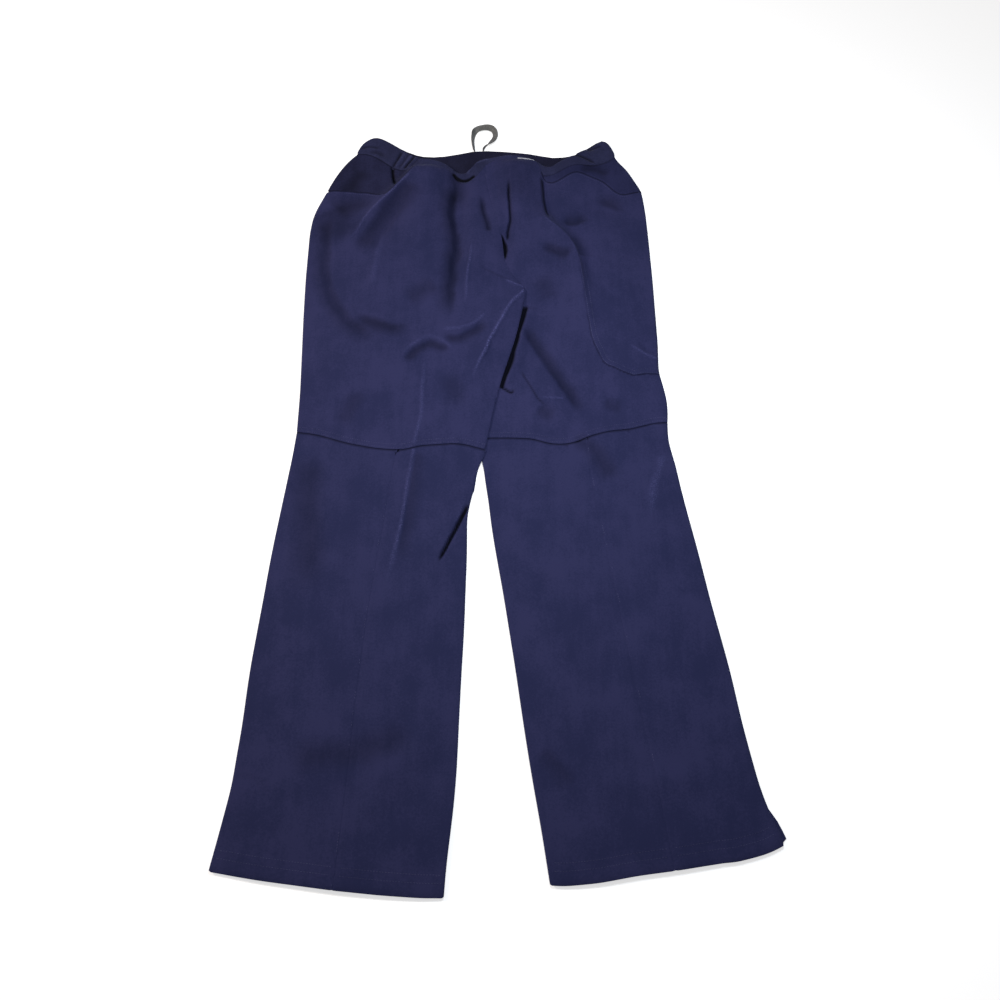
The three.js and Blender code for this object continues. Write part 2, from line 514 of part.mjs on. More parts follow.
// Yokes between the upper legs and the waistband
const YOKE_LEFT_ROWS = 6;
const YOKE_RIGHT_ROWS = 5;
const ridge = LEFT_TOP.slice(LEFT_RIDGE_FROM, LEFT_RIDGE_TO + 1).reverse();
backPanel("back_left_yoke", leftFace, {
  top: LEFT_YOKE_TOP,
  bottom: LEFT_TOP.slice(0, LEFT_RIDGE_FROM + 1),
  left: between(LEFT_OUTER, first(LEFT_YOKE_TOP).y, first(LEFT_TOP).y),
  right: ridge,
}, LEFT_YOKE_TOP.length - 1, YOKE_LEFT_ROWS);

backPanel("back_right_yoke", rightFace, {
  top: RIGHT_YOKE_TOP,
  bottom: RIGHT_TOP.slice(RIGHT_YOKE_FROM),
  left: [RIGHT_TOP[RIGHT_YOKE_FROM - 1], RIGHT_TOP[RIGHT_YOKE_FROM]],
  right: between(RIGHT_OUTER, last(RIGHT_YOKE_TOP).y, last(RIGHT_TOP).y),
}, RIGHT_YOKE_TOP.length - 1, YOKE_RIGHT_ROWS);

// Back waistband: one gathered strip above the yokes and the upper legs
const BAND_ROWS = 3;
const bandSeam = [
  ...LEFT_YOKE_TOP,
  ...LEFT_TOP.slice(LEFT_RIDGE_TO + 1),
  ...RIGHT_TOP.slice(1, RIGHT_YOKE_FROM),
  ...RIGHT_YOKE_TOP.slice(1),
];
const bandEdge = bandSeam.map(({ x, y, band }) => ({ x, y: y + band }));
const bandFace = (x, y) => (x < lookUp(LEFT_INNER, "y", "x", y) ? leftFace(x, y) : rightFace(x, y));
const bandGrid = backPanel("back_waistband", bandFace, {
  top: bandEdge,
  bottom: bandSeam,
  left: [first(bandEdge), first(bandSeam)],
  right: [last(bandEdge), last(bandSeam)],
}, bandSeam.length - 1, BAND_ROWS);

// What lies on a panel: the panel's own grid moved out, cut to the piece's outline
const CUTTER_HEIGHT = 100;
function layOn(name, grid, face, wall, outline, colour) {
  const slab = clothWall(grid, lowered(face, -SEAM - wall), lowered(face, -SEAM));
  const prism = flatPiece(outline, 0, CUTTER_HEIGHT);
  addPiece(name, common(slab, prism), colour);
}

layOn("cargo_pocket", rightUpperGrid, rightFace, POCKET_WALL, places(POCKET), NAVY);
const { left, right, low, high } = LABEL;
layOn("label", bandGrid, bandFace, LABEL_WALL, [[left, low], [right, low], [right, high], [left, high]], LILAC);

// Drawstring: the outline of the tape seen from above, as thick as the tape is wide
const route = new THREE.SplineCurve(TAPE_ROUTE.map(({ x, y }) => new THREE.Vector2(x, y)));
const beside = (t, away) => {
  const point = route.getPointAt(t);
  const along = route.getTangentAt(t);
  return [point.x - along.y * away, point.y + along.x * away];
};
const shares = Array.from({ length: TAPE_STEPS + 1 }, (_, i) => i / TAPE_STEPS);
const tape = [
  ...shares.map((t) => beside(t, TAPE_THICK / 2)),
  ...[...shares].reverse().map((t) => beside(t, -TAPE_THICK / 2)),
];
addPiece("drawstring", flatPiece(tape, FLOOR_GAP, TAPE_WIDTH), GREY);

export default scrubTrousers;
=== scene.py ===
# %% [markdown]
# Scrub trousers laid out flat, back side up.
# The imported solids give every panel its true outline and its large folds. They are coarse, so each one
# is replaced here by a thin sheet of cloth on the same form: finer, with its small creases, its
# lapped seams, its stitches and its weave. All sizes are in metres; MM turns millimetres into metres.

# %% The fixed frame
import math

import bmesh
import bpy
import numpy as np
from mathutils import Matrix, Vector, noise
from mathutils.bvhtree import BVHTree
from mathutils.kdtree import KDTree


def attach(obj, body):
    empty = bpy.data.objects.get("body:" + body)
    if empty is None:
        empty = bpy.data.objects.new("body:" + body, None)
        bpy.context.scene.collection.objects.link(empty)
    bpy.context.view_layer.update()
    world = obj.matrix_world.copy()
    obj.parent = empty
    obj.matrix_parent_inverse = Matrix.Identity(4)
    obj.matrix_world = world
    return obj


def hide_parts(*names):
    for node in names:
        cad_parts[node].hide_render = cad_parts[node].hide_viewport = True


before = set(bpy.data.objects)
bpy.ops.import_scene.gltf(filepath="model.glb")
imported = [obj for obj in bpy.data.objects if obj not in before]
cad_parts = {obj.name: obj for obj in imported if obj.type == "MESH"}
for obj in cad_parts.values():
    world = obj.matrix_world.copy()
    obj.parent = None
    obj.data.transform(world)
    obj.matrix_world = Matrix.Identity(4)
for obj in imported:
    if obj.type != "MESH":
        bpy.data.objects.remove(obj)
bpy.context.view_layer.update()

MM = 0.001

# %% [markdown]
# The camera comes first. The photograph looks down at the table from just past the hems, 64 degrees below
# the horizontal, from a little over a metre up. Its picture is as wide as its focal length.

# %% Camera
CAMERA_HEIGHT = 1.080
CAMERA_BACK = 0.596
LOOK_DOWN = math.radians(64)
SENSOR = 36.0

camera_data = bpy.data.cameras.new("camera")
camera_data.sensor_width = SENSOR
camera_data.lens = SENSOR
camera = bpy.data.objects.new("camera", camera_data)
camera.location = (0, -CAMERA_BACK, CAMERA_HEIGHT)
camera.rotation_euler = (math.pi / 2 - LOOK_DOWN, 0, 0)
bpy.context.scene.collection.objects.link(camera)
bpy.context.scene.camera = camera
print("camera:", tuple(round(x, 3) for x in camera.location), "looking down", round(math.degrees(LOOK_DOWN)))

# %% [markdown]
# Helpers that every piece uses. A table is a list of rows whose columns have names, so that no row is
# a list of bare numbers. A smooth step goes from 0 to 1 and is level at both ends.


# %% Tables and smooth steps
def table(columns, rows):
    names = columns.split()
    return [dict(zip(names, row)) for row in rows]


def smooth(t):
    t = np.clip(t, 0, 1)
    return t * t * (3 - 2 * t)


# %% [markdown]
# A smooth path is a curve through a few given points. The cord, the creases and the seam at the centre back
# all follow such paths.


# %% Paths
def smooth_path(points, step):
    """Points about a step apart on a curve through the given ones."""
    p = np.array(points, float)
    p = np.vstack([2 * p[0] - p[1], p, 2 * p[-1] - p[-2]])
    made = []
    for a, b, c, d in zip(p, p[1:], p[2:], p[3:]):
        count = max(1, round(np.linalg.norm(c - b) / step))
        t = (np.arange(count) / count)[:, None]
        made.append(0.5 * (2 * b + (c - a) * t + (2 * a - 5 * b + 4 * c - d) * t**2
                           + (3 * b - a - 3 * c + d) * t**3))
    return np.vstack([*made, p[-2:-1]])


def on_path(xy, path):
    """For each place: how far it is from the path, how far along, and on which side it lies."""
    a, b = path[:-1], path[1:]
    run = b - a
    length = np.linalg.norm(run, axis=1)
    start = np.concatenate([[0], np.cumsum(length)])[:-1]
    best = np.full(len(xy), np.inf)
    along = np.zeros(len(xy))
    side = np.ones(len(xy))
    for i in range(len(a)):
        away = xy - a[i]
        t = np.clip(away @ run[i] / length[i] ** 2, 0, 1)
        d = np.linalg.norm(away - t[:, None] * run[i], axis=1)
        near = d < best
        best[near] = d[near]
        along[near] = start[i] + t[near] * length[i]
        side[near] = np.sign(run[i, 0] * away[near, 1] - run[i, 1] * away[near, 0])
    return best, along, side, length.sum()


# %% [markdown]
# A mesh becomes a piece once it has an object in the scene. Its modifiers are applied, so that the finished
# piece is plain geometry.


# %% Objects and modifiers
def add_object(name, mesh):
    piece = bpy.data.objects.new(name, mesh)
    bpy.context.scene.collection.objects.link(piece)
    return piece


def apply_modifiers(piece):
    bpy.ops.object.select_all(action="DESELECT")
    piece.select_set(True)
    bpy.context.view_layer.objects.active = piece
    for modifier in list(piece.modifiers):
        bpy.ops.object.modifier_apply(modifier=modifier.name)


def triangles(piece):
    return sum(len(face.vertices) - 2 for face in piece.data.polygons)


# %% [markdown]
# The drawstring is the one free cord: a flat tape, 9 mm wide, that leaves the front waistband, stands up
# on its edge in a loop and goes back in. Its route repeats the route of its solid. The tape turns about
# its own line as it goes, so that its face shows at the top of the loop, where it is folded over.

# %% The route of the drawstring
TAPE_WIDTH = 9 * MM
TAPE_THICK = 1.1 * MM
TAPE_MIDDLE = 4.9 * MM
TAPE_ROUTE = table("x y lean", [
    (-37.2, 488.2, 18), (-38.6, 499, 24), (-39.4, 509, 26), (-38.8, 518, 32), (-37, 525.5, 54),
    (-32.8, 530.8, 74), (-26.3, 533.6, 78), (-19, 534.6, 68), (-12.6, 532.4, 50), (-8.4, 527.4, 46),
    (-6.8, 520.8, 54), (-7.6, 514, 64), (-10.8, 508, 64), (-15.9, 501.8, 44), (-21.4, 496, 16),
    (-24.6, 489.6, 0),
])
TAPE_STEP = 1.5 * MM
tape_points = smooth_path([(row["x"] * MM, row["y"] * MM, math.radians(row["lean"])) for row in TAPE_ROUTE],
                          TAPE_STEP)
tape_line = np.column_stack([tape_points[:, :2], np.full(len(tape_points), TAPE_MIDDLE)])

# %% [markdown]
# The tape itself is a flat ten-sided section, a little thinner between its woven edges than at them, swept
# along that line. A curve with a bevel would not let its width turn so freely, so the mesh is built here.

# %% The tape along its route
TAPE_SECTION = table("across thick", [
    (-0.5, 0), (-0.47, 0.5), (-0.2, 0.42), (0.2, 0.42), (0.47, 0.5),
    (0.5, 0), (0.47, -0.5), (0.2, -0.42), (-0.2, -0.42), (-0.47, -0.5),
])


def ribbon(name, line, lean, width, thick, section):
    """A flat tape along a line. Its lean is how far its width is turned from upright."""
    ahead = np.gradient(line, axis=0)
    ahead /= np.linalg.norm(ahead, axis=1)[:, None]
    outward = np.cross(ahead, (0, 0, 1))
    outward /= np.linalg.norm(outward, axis=1)[:, None]
    up = np.cross(outward, ahead)
    tall = up * np.cos(lean)[:, None] - outward * np.sin(lean)[:, None]
    flat = np.cross(ahead, tall)
    rings = [line + tall * row["across"] * width + flat * row["thick"] * thick for row in section]
    points = np.stack(rings, axis=1).reshape(-1, 3)
    n = len(section)
    faces = [tuple(reversed(range(n))), tuple(range(len(points) - n, len(points)))]
    for i in range(len(line) - 1):
        for j in range(n):
            k = (j + 1) % n
            faces.append((i * n + j, i * n + k, (i + 1) * n + k, (i + 1) * n + j))
    mesh = bpy.data.meshes.new(name)
    mesh.from_pydata(points.tolist(), [], faces)
    mesh.validate()
    made = bmesh.new()
    made.from_mesh(mesh)
    bmesh.ops.recalc_face_normals(made, faces=made.faces)
    made.to_mesh(mesh)
    made.free()
    return add_object(name, mesh)


tape_lean = tape_points[:, 2]
drawstring = ribbon("drawstring_tape", tape_line, tape_lean, TAPE_WIDTH, TAPE_THICK, TAPE_SECTION)
print("tape:", len(drawstring.data.polygons), "faces")

# %% [markdown]
# Cloth starts as the upper side of a solid. Its triangles are joined to four-sided faces, and a
# subdivision surface rounds the coarse folds and gives the small ones enough points. The outline stays.

# %% A panel's upper side, made fine
SAME_POINT = 0.01 * MM
FACES_UP = 0.02  # a face whose normal rises more than this belongs to a panel's upper side


def upper_faces(node, rise):
    """A copy of a solid with only the faces whose normals rise more than this."""
    sheet = bmesh.new()
    sheet.from_mesh(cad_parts[node].data)
    bmesh.ops.remove_doubles(sheet, verts=sheet.verts, dist=SAME_POINT)
    sheet.normal_update()
    rest = [face for face in sheet.faces if face.normal.z < rise]
    bmesh.ops.delete(sheet, geom=rest, context="FACES")
    return sheet


def upper_side(node):
    sheet = upper_faces(node, FACES_UP)
    bmesh.ops.join_triangles(sheet, faces=sheet.faces, angle_face_threshold=math.pi,
                             angle_shape_threshold=math.pi)
    return sheet


def fine_sheet(name, node, levels):
    sheet = upper_side(node)
    mesh = bpy.data.meshes.new(name)
    sheet.to_mesh(mesh)
    sheet.free()
    piece = add_object(name, mesh)
    rounder = piece.modifiers.new("rounder", "SUBSURF")
    rounder.levels = rounder.render_levels = levels
    rounder.boundary_smooth = "PRESERVE_CORNERS"
    apply_modifiers(piece)
    return piece


def get_points(piece):
    points = np.empty(len(piece.data.vertices) * 3)
    piece.data.vertices.foreach_get("co", points)
    return points.reshape(-1, 3)


def set_points(piece, points):
    piece.data.vertices.foreach_set("co", points.ravel())
    piece.data.update()


# %% [markdown]
# Small creases, read from the photograph and placed in real sizes. Each runs along a path. Its rise is above
# zero for a ridge and below zero for a groove. Seen along the path it dies out over the left and the right
# width beside it, and over the start and end lengths along it. Millimetres.

# %% A list for the creases
PATH_STEP = 4 * MM
CREASES = []


def add_creases(on, rows):
    """Adds creases to the panels of one kind."""
    for row in table("name rise left right start end path", rows):
        CREASES.append({"on": on, **row, "points": smooth_path(np.array(row["path"]) * MM, PATH_STEP)})
    print("creases on", on + ":", len(rows))


# %% [markdown]
# The seat falls in deep folds from the gathered waist. The biggest are in the solids. These are the
# sharp edges on them, the slits between them and the soft dents beside them.

# %% Creases of the left seat
add_creases("left", [
    ("yoke fold edge", 1.7, 8, 5, 10, 45,
     [(-125, 435), (-141, 416), (-156, 395), (-178, 370), (-189, 352), (-197, 334), (-212, 317)]),
    ("slit beside the yoke fold", -4, 3, 3, 3, 8, [(-154, 455), (-152, 438), (-147, 417)]),
    ("core of the deep valley", -2.8, 10, 8, 30, 45,
     [(-60, 425), (-65, 405), (-65, 363), (-62, 337), (-57, 310), (-61, 281), (-63, 244), (-66, 209),
      (-68, 184)]),
    ("edge beside the valley", 1.0, 3.5, 3.5, 20, 25,
     [(-38, 318), (-41, 283), (-44, 259), (-44, 228), (-47, 209)]),
    ("groove left of the centre", -1.8, 6, 4, 25, 8, [(-25, 405), (-23, 376), (-17, 352), (-15, 333)]),
    ("crotch fold", -1.3, 5, 5, 12, 10, [(-26, 276), (-5, 264), (14, 255)]),
    ("crotch edge", 0.9, 3, 3, 8, 1, [(4, 255), (24, 244), (35, 241)]),
    ("seat dent", -1.4, 9, 14, 30, 40, [(-128, 395), (-146, 365), (-160, 335), (-170, 300)]),
    ("flank crease", 0.8, 5, 8, 25, 25, [(-158, 340), (-164, 300), (-169, 262), (-168, 235)]),
    ("left side arc", -2.4, 10, 10, 25, 30,
     [(-240, 366), (-237, 323), (-236, 282), (-228, 242), (-212, 208), (-190, 180), (-160, 156)]),
    ("shade under the yoke fold", -2.2, 14, 11, 15, 25,
     [(-121, 425), (-134, 408), (-149, 388), (-163, 365), (-176, 341), (-190, 318), (-202, 305)]),
    ("seat patch", -0.9, 14, 14, 12, 12, [(-126, 218), (-106, 231), (-82, 247)]),
    ("dark flank", -1.0, 30, 30, 14, 30, [(-242, 384), (-230, 360), (-217, 338), (-205, 316)]),
    ("crown rim", 0.5, 3, 3, 10, 10, [(-126, 449), (-116, 454), (-104, 457), (-92, 457), (-80, 452)]),
    ("flank of the crown", -1.2, 16, 9, 10, 35, [(-64, 470), (-62, 440), (-59, 405), (-60, 372)]),
    ("shade under the yoke", -1.0, 18, 20, 14, 20, [(-232, 372), (-212, 384), (-192, 384), (-178, 374)]),
    ("slit in the dip", -2.5, 3.5, 3, 5, 5,
     [(-67, 443), (-62, 436), (-56, 432), (-48, 431), (-41, 434), (-36, 440)]),
])

# %% [markdown]
# Three slack folds like smiles hang across the thigh, each a groove with a soft lip above it. The leg was
# pressed once, so a faint straight crease runs down its middle.

# %% Creases of the left thigh
add_creases("left", [
    ("inner thigh edge", 1.6, 5, 4, 3, 45,
     [(33, 237), (13, 211), (-1, 182), (-13, 155), (-17, 143), (-28, 118), (-37, 92)]),
    ("pressed crease, thigh", 0.7, 3, 3, 60, 3,
     [(-96, 140), (-98, 74), (-98, 51), (-100, 32), (-104, 13), (-106, 2)]),
    ("lip of smile A", 0.8, 9, 5, 12, 12, [(-196, 208), (-168, 197), (-142, 190), (-116, 184)]),
    ("smile A", -2.8, 7, 17, 20, 26, [(-193, 199), (-170, 189), (-145, 181), (-114, 175)]),
    ("lip of smile B", 1.0, 8, 4, 8, 8, [(-125, 135), (-111, 150), (-92, 160), (-76, 156), (-60, 143)]),
    ("smile B", -2.8, 5, 11, 14, 18, [(-122, 121), (-109, 142), (-92, 151), (-78, 148), (-62, 137)]),
    ("lip of smile C", 1.3, 9, 4, 10, 12, [(-76, 170), (-50, 173), (-31, 184), (-17, 200)]),
    ("smile C", -2.5, 5, 11, 12, 12, [(-75, 161), (-51, 162), (-34, 172), (-20, 186)]),
    ("knee hollow", -0.9, 12, 12, 16, 16, [(-200, 28), (-186, 58), (-174, 82)]),
    ("thigh hollow", -0.9, 14, 14, 20, 20, [(-70, 108), (-58, 82), (-52, 52)]),
])

# %% [markdown]
# Below the knee seam the pressed crease goes on, and at the inner leg the cloth folds over in a flap with
# a dark slit under it. Towards the hem it is nearly smooth.

# %% Creases of the left calf
add_creases("left", [
    ("pressed crease, calf", 1.0, 4, 3, 3, 70,
     [(-106, -3), (-107, -20), (-110, -42), (-112, -60), (-114, -81), (-118, -112), (-121, -129),
      (-125, -148), (-131, -188)]),
    ("calf fold shade", -0.8, 10, 4, 6, 50, [(-104, -8), (-108, -60), (-113, -110), (-119, -165)]),
    ("calf flap", 1.4, 2.5, 12, 14, 20, [(-41, -70), (-48, -92), (-56, -111), (-64, -129), (-73, -149)]),
    ("slit under the calf flap", -4, 3.5, 3, 10, 14,
     [(-37, -76), (-46, -97), (-53, -112), (-61, -129), (-68, -144), (-72, -153)]),
    ("hem crease", -0.8, 14, 20, 30, 30, [(-90, -350), (-150, -372), (-230, -380)]),
    ("vent pull", -0.9, 6, 10, 4, 20, [(-279, -394), (-262, -400), (-244, -412)]),
    ("dark strip of the calf", -0.9, 18, 24, 30, 60, [(-230, -6), (-228, -72), (-221, -137), (-226, -200)]),
])

# %% [markdown]
# The centre seam opens in a slit with a black notch at its foot. Beside it a smooth column of cloth
# hangs down, with a sharp edge that curves out over the leg.

# %% Creases of the right seat
add_creases("right", [
    ("shade of the column", -0.3, 36, 36, 24, 40, [(18, 490), (20, 440), (24, 372)]),
    ("centre slit", -4, 4, 3, 25, 12, [(12, 430), (12, 400), (14, 366), (14, 352), (11, 334), (10, 318)]),
    ("black notch", -6, 5, 5, 10, 14, [(0, 332), (3, 320), (7, 306), (5, 287)]),
    ("lip of the notch", 1.2, 3, 3, 8, 8, [(10, 322), (10, 306), (9, 290)]),
    ("crown facet", -1.0, 7, 10, 12, 25, [(-12, 452), (-7, 425), (1, 385), (8, 345)]),
    ("slit beside the crown", -3, 4, 4, 10, 14, [(60, 438), (61, 399), (64, 375), (68, 353)]),
    ("column edge", 1.6, 4, 8, 8, 55,
     [(57, 361), (67, 348), (84, 332), (94, 320), (100, 306), (104, 293), (108, 268), (111, 227),
      (116, 200)]),
    ("shade under the column", -2.6, 8, 13, 14, 10, [(55, 306), (75, 304), (97, 292)]),
    ("shade beside the column", -2.6, 12, 8, 12, 14, [(84, 358), (103, 351), (124, 362)]),
    ("flank dent", -2.4, 12, 10, 20, 20, [(130, 393), (153, 388), (176, 374)]),
    ("shade beside the column edge", -0.9, 12, 4, 16, 40, [(92, 330), (104, 308), (110, 276), (113, 240)]),
    ("hollow below the crotch", -0.7, 16, 16, 18, 18, [(48, 262), (60, 240), (70, 214)]),
])

# %% [markdown]
# The left thigh lies over this one and leaves a black slit. A broad trough runs down and outwards from it,
# and a few small dabs of shade lie round the patch at the inner seam.

# %% Creases of the right thigh
add_creases("right", [
    ("slit under the thigh", -5, 4, 4, 6, 5,
     [(34, 214), (31, 200), (24, 174), (15, 134), (6, 103), (0, 86)]),
    ("lip of the slit", 3.4, 15, 3, 8, 8, [(40, 212), (37, 198), (30, 174), (21, 134), (12, 104), (6, 90)]),
    ("nick", -2.6, 3.5, 3.5, 4, 4, [(-2, 90), (8, 83), (14, 79), (19, 82)]),
    ("inseam line", -0.8, 2.6, 2.6, 10, 8, [(26, 112), (34, 95), (42, 80), (48, 68), (57, 59)]),
    ("inseam patch edge", 0.8, 3, 3, 5, 6, [(52, 70), (66, 70), (82, 69)]),
    ("inseam dab", -2.0, 13, 13, 9, 12, [(46, 56), (58, 48), (72, 42)]),
    ("core of the thigh trough", -3.0, 10, 9, 20, 28,
     [(32, 181), (44, 155), (57, 130), (69, 108), (82, 86), (93, 66), (102, 46)]),
    ("small dab", -1.2, 10, 10, 7, 7, [(130, 63), (142, 58), (154, 55)]),
])

# %% [markdown]
# The right calf lies flat. It has one bulge at its outer edge and slow swells towards the hem.

# %% Creases of the right calf
add_creases("right", [
    ("calf bulge", 1.0, 7, 9, 10, 30, [(202, -8), (196, -24), (190, -40), (185, -58), (181, -98)]),
    ("small calf fold", -1.1, 6, 7, 10, 12, [(42, -368), (58, -385), (77, -408)]),
    ("shade below the right knee", -1.1, 13, 13, 14, 18, [(88, 12), (110, 0), (125, -22), (136, -50)]),
    ("hem swell", 0.9, 20, 24, 40, 40, [(90, -410), (160, -402), (230, -395)]),
])

# %% [markdown]
# The pocket's cloth is pulled a little towards its sewn corner.

# %% Creases of the pocket
add_creases("pocket", [
    ("pocket crease", 1.1, 4, 3, 8, 3, [(167, 150), (185, 137), (203, 128)]),
    ("pocket pull", -1.4, 7, 7, 8, 3, [(178, 154), (192, 144), (204, 138)]),
    ("pocket upper dent", -0.8, 12, 12, 14, 14, [(128, 240), (150, 225), (170, 222)]),
])

# %% [markdown]
# The elastic gathers the waistband: narrow pleats beside the left corner, longer wrinkles beside the right
# one, and a dark slit where the seat's cloth dips away from it.

# %% Creases of the waistband
add_creases("band", [
    ("left gather 1", -2.2, 3.4, 3, 3, 5, [(-153, 455), (-147, 470), (-140, 486)]),
    ("left gather 2", -1.3, 3.2, 3, 3, 5, [(-144, 452), (-138, 466), (-129, 482)]),
    ("left gather 3", -2.0, 2.8, 2.6, 3, 4, [(-136, 450), (-130, 462), (-121, 475)]),
    ("left gather 4", -1.2, 2.8, 2.6, 3, 4, [(-128, 451), (-122, 461), (-113, 471)]),
    ("gather ridge 1", 1.0, 2, 2, 3, 4, [(-149, 454), (-143, 468), (-135, 484)]),
    ("gather ridge 2", 1.0, 2, 2, 3, 4, [(-140, 451), (-134, 464), (-125, 478)]),
    ("gather ridge 3", 0.9, 2, 2, 3, 4, [(-132, 450), (-126, 461), (-117, 472)]),
    ("left corner pull", -1.6, 4, 4, 6, 8, [(-202, 492), (-188, 496), (-172, 492)]),
    ("left corner roll", -1.2, 5, 5, 8, 10, [(-190, 486), (-176, 484), (-162, 474)]),
    ("light arc", 1.4, 4, 3, 6, 8, [(-46, 441), (-43, 452), (-36, 461), (-24, 467), (-12, 469)]),
    ("slit in the dip, band", -3, 4, 4, 5, 5,
     [(-68, 444), (-62, 437), (-56, 433), (-48, 432), (-41, 435), (-35, 441)]),
    ("shade above the dip", -1.6, 8, 8, 8, 8, [(-70, 462), (-62, 452), (-55, 446)]),
    ("right wrinkle", -2.4, 4, 4, 5, 8, [(100, 476), (118, 469), (138, 461)]),
    ("right wrinkle ridge", 1.2, 3, 3, 6, 8, [(84, 470), (98, 478), (112, 477)]),
    ("right corner wrinkle", -2, 4, 4, 5, 6, [(124, 482), (136, 492), (148, 499)]),
])

# %% [markdown]
# The yokes are pulled flat between the waistband and the seat, each with one soft hollow.

# %% Creases of the yokes
add_creases("yoke", [
    ("left yoke hollow", -1.0, 14, 14, 16, 16, [(-222, 400), (-205, 430), (-190, 455)]),
    ("left yoke pleat", -2.2, 4, 4, 4, 10, [(-153, 457), (-151, 438), (-146, 415)]),
    ("right yoke dimple", -1.2, 8, 8, 10, 10, [(112, 448), (135, 450), (156, 440)]),
])

# %% [markdown]
# A real crease is never an even tube. Its path wanders by a few millimetres, soft ones more than sharp
# ones, and its depth fades at both ends. The same falloff serves the heights and the colours.

# %% How far a crease is felt
UNEVEN_SIZE = 19 * MM
UNEVEN_SHIFT = 2.6 * MM
FINE_PART = 3.1  # a second, finer wandering is this many times smaller
FINE_SHARE = 0.35
SHARP = 14  # creases narrower than this, in millimetres from side to side, hardly wander
SHARP_WANDER = 0.25


def unevenness(xy):
    """A small wandering shift for each place, so that no crease is a smooth tube."""
    shift = np.empty((len(xy), 2))
    for i, (x, y) in enumerate(xy):
        place = Vector((x, y, 0)) / UNEVEN_SIZE
        shift[i] = (noise.noise(place), noise.noise(place + Vector((7, 3, 5))))
        fine = place * FINE_PART
        shift[i] += FINE_SHARE * np.array((noise.noise(fine), noise.noise(fine + Vector((2, 9, 4)))))
    return xy + shift * UNEVEN_SHIFT


def spread(places, crease, left, right):
    """How strongly a crease is felt at each place, from 0 to 1. Soft creases wander, sharp ones hardly do."""
    straight, wandering = places
    wander = SHARP_WANDER if crease["left"] + crease["right"] < SHARP else 1
    xy = straight + (wandering - straight) * wander
    felt = np.zeros(len(xy))
    reach = max(left, right)
    path = crease["points"]
    low, high = path.min(axis=0) - reach, path.max(axis=0) + reach
    inside = np.flatnonzero(((xy > low) & (xy < high)).all(axis=1))
    if len(inside):
        away, along, side, length = on_path(xy[inside], path)
        ends = smooth(along / (crease["start"] * MM)) * smooth((length - along) / (crease["end"] * MM))
        felt[inside] = (1 - smooth(away / np.where(side > 0, left, right))) * ends
    return felt


def crease_lift(places, crease):
    return crease["rise"] * MM * spread(places, crease, crease["left"] * MM, crease["right"] * MM)


# %% [markdown]
# Along a sharp edge the dye is rubbed off, and the edge catches the light, so its pale tone is partly worn
# dye and partly painted highlight. Each mark names its crease, and its tone, above zero here, says how pale
# the cloth is made. It fades over the width on either side, in millimetres.

# %% Rubbed edges and painted highlights
MARK_COLUMNS = "crease tone left right"
RUBBED_AND_HIGHLIT_EDGES = table(MARK_COLUMNS, [
    ("yoke fold edge", 0.6, 2.4), ("edge beside the valley", 0.4, 3), ("crotch edge", 0.6, 2.2),
    ("inner thigh edge", 0.8, 3), ("pressed crease, thigh", 0.36, 4), ("pressed crease, calf", 0.5, 5, 4),
    ("calf flap", 0.3, 2), ("column edge", 0.22, 2.6), ("calf bulge", 0.3, 8),
    ("inseam patch edge", 0.45, 1.8), ("pocket crease", 0.5, 2.2), ("lip of smile C", 0.4, 2.8),
    ("lip of smile B", 0.25, 3), ("crown rim", 0.5, 3), ("flank crease", 0.22, 6),
    ("gather ridge 1", 0.35, 2), ("gather ridge 2", 0.55, 2), ("light arc", 0.6, 2.8),
    ("right wrinkle ridge", 0.5, 2.8),
])
print("rubbed edges:", len(RUBBED_AND_HIGHLIT_EDGES))

# %% [markdown]
# Painted shade. A deep fold swallows the light, more than a few millimetres of real depth can show, so its
# colour is darkened, and so is the colour of the broad dents and flanks listed with it. The tone is below
# zero.

# %% Painted shade in the folds
PAINTED_FOLD_SHADE = table(MARK_COLUMNS, [
    ("slit beside the yoke fold", -0.75, 2.6), ("core of the deep valley", -0.5, 8, 24),
    ("centre slit", -0.9, 2.6), ("black notch", -2.2, 5), ("slit beside the crown", -0.8, 2.8),
    ("slit under the thigh", -2.4, 5.4), ("nick", -1, 3), ("slit under the calf flap", -1.8, 3),
    ("inseam line", -0.6, 1.8), ("inseam dab", -0.3, 18), ("groove left of the centre", -0.5, 6, 9),
    ("core of the thigh trough", -0.46, 15, 8), ("smile A", -0.5, 6, 24), ("smile B", -0.48, 5, 16),
    ("smile C", -0.46, 5, 16), ("left side arc", -0.34, 10, 26), ("dark flank", -0.34, 44),
    ("shade under the yoke fold", -0.42, 34, 11), ("shade under the column", -0.42, 12, 20),
    ("shade beside the column", -0.44, 20, 10), ("flank dent", -0.4, 20, 14),
    ("flank of the crown", -0.42, 18), ("shade under the yoke", -0.42, 34), ("slit in the dip", -1.4, 3.8),
    ("slit in the dip, band", -1.8, 3.8), ("dark strip of the calf", -0.28, 26, 36),
    ("knee hollow", -0.24, 18), ("thigh hollow", -0.2, 20), ("left gather 1", -0.9, 2.8),
    ("left gather 2", -0.5, 2.2), ("left gather 3", -1, 2.8), ("left gather 4", -0.4, 2),
    ("shade above the dip", -0.5, 10), ("right wrinkle", -0.7, 4.5), ("left yoke hollow", -0.5, 22),
    ("left yoke pleat", -0.7, 3.4), ("shade beside the column edge", -0.26, 22, 4),
    ("small dab", -0.24, 14), ("shade below the right knee", -0.32, 20),
    ("hollow below the crotch", -0.22, 24), ("seat patch", -0.26, 22), ("calf fold shade", -0.26, 20, 6),
    ("hem crease", -0.26, 22, 30), ("small calf fold", -0.2, 16), ("left corner pull", -0.5, 4),
    ("left corner roll", -0.4, 6), ("right corner wrinkle", -0.5, 4.5), ("right yoke dimple", -0.4, 14),
    ("shade of the column", -0.2, 36),
])
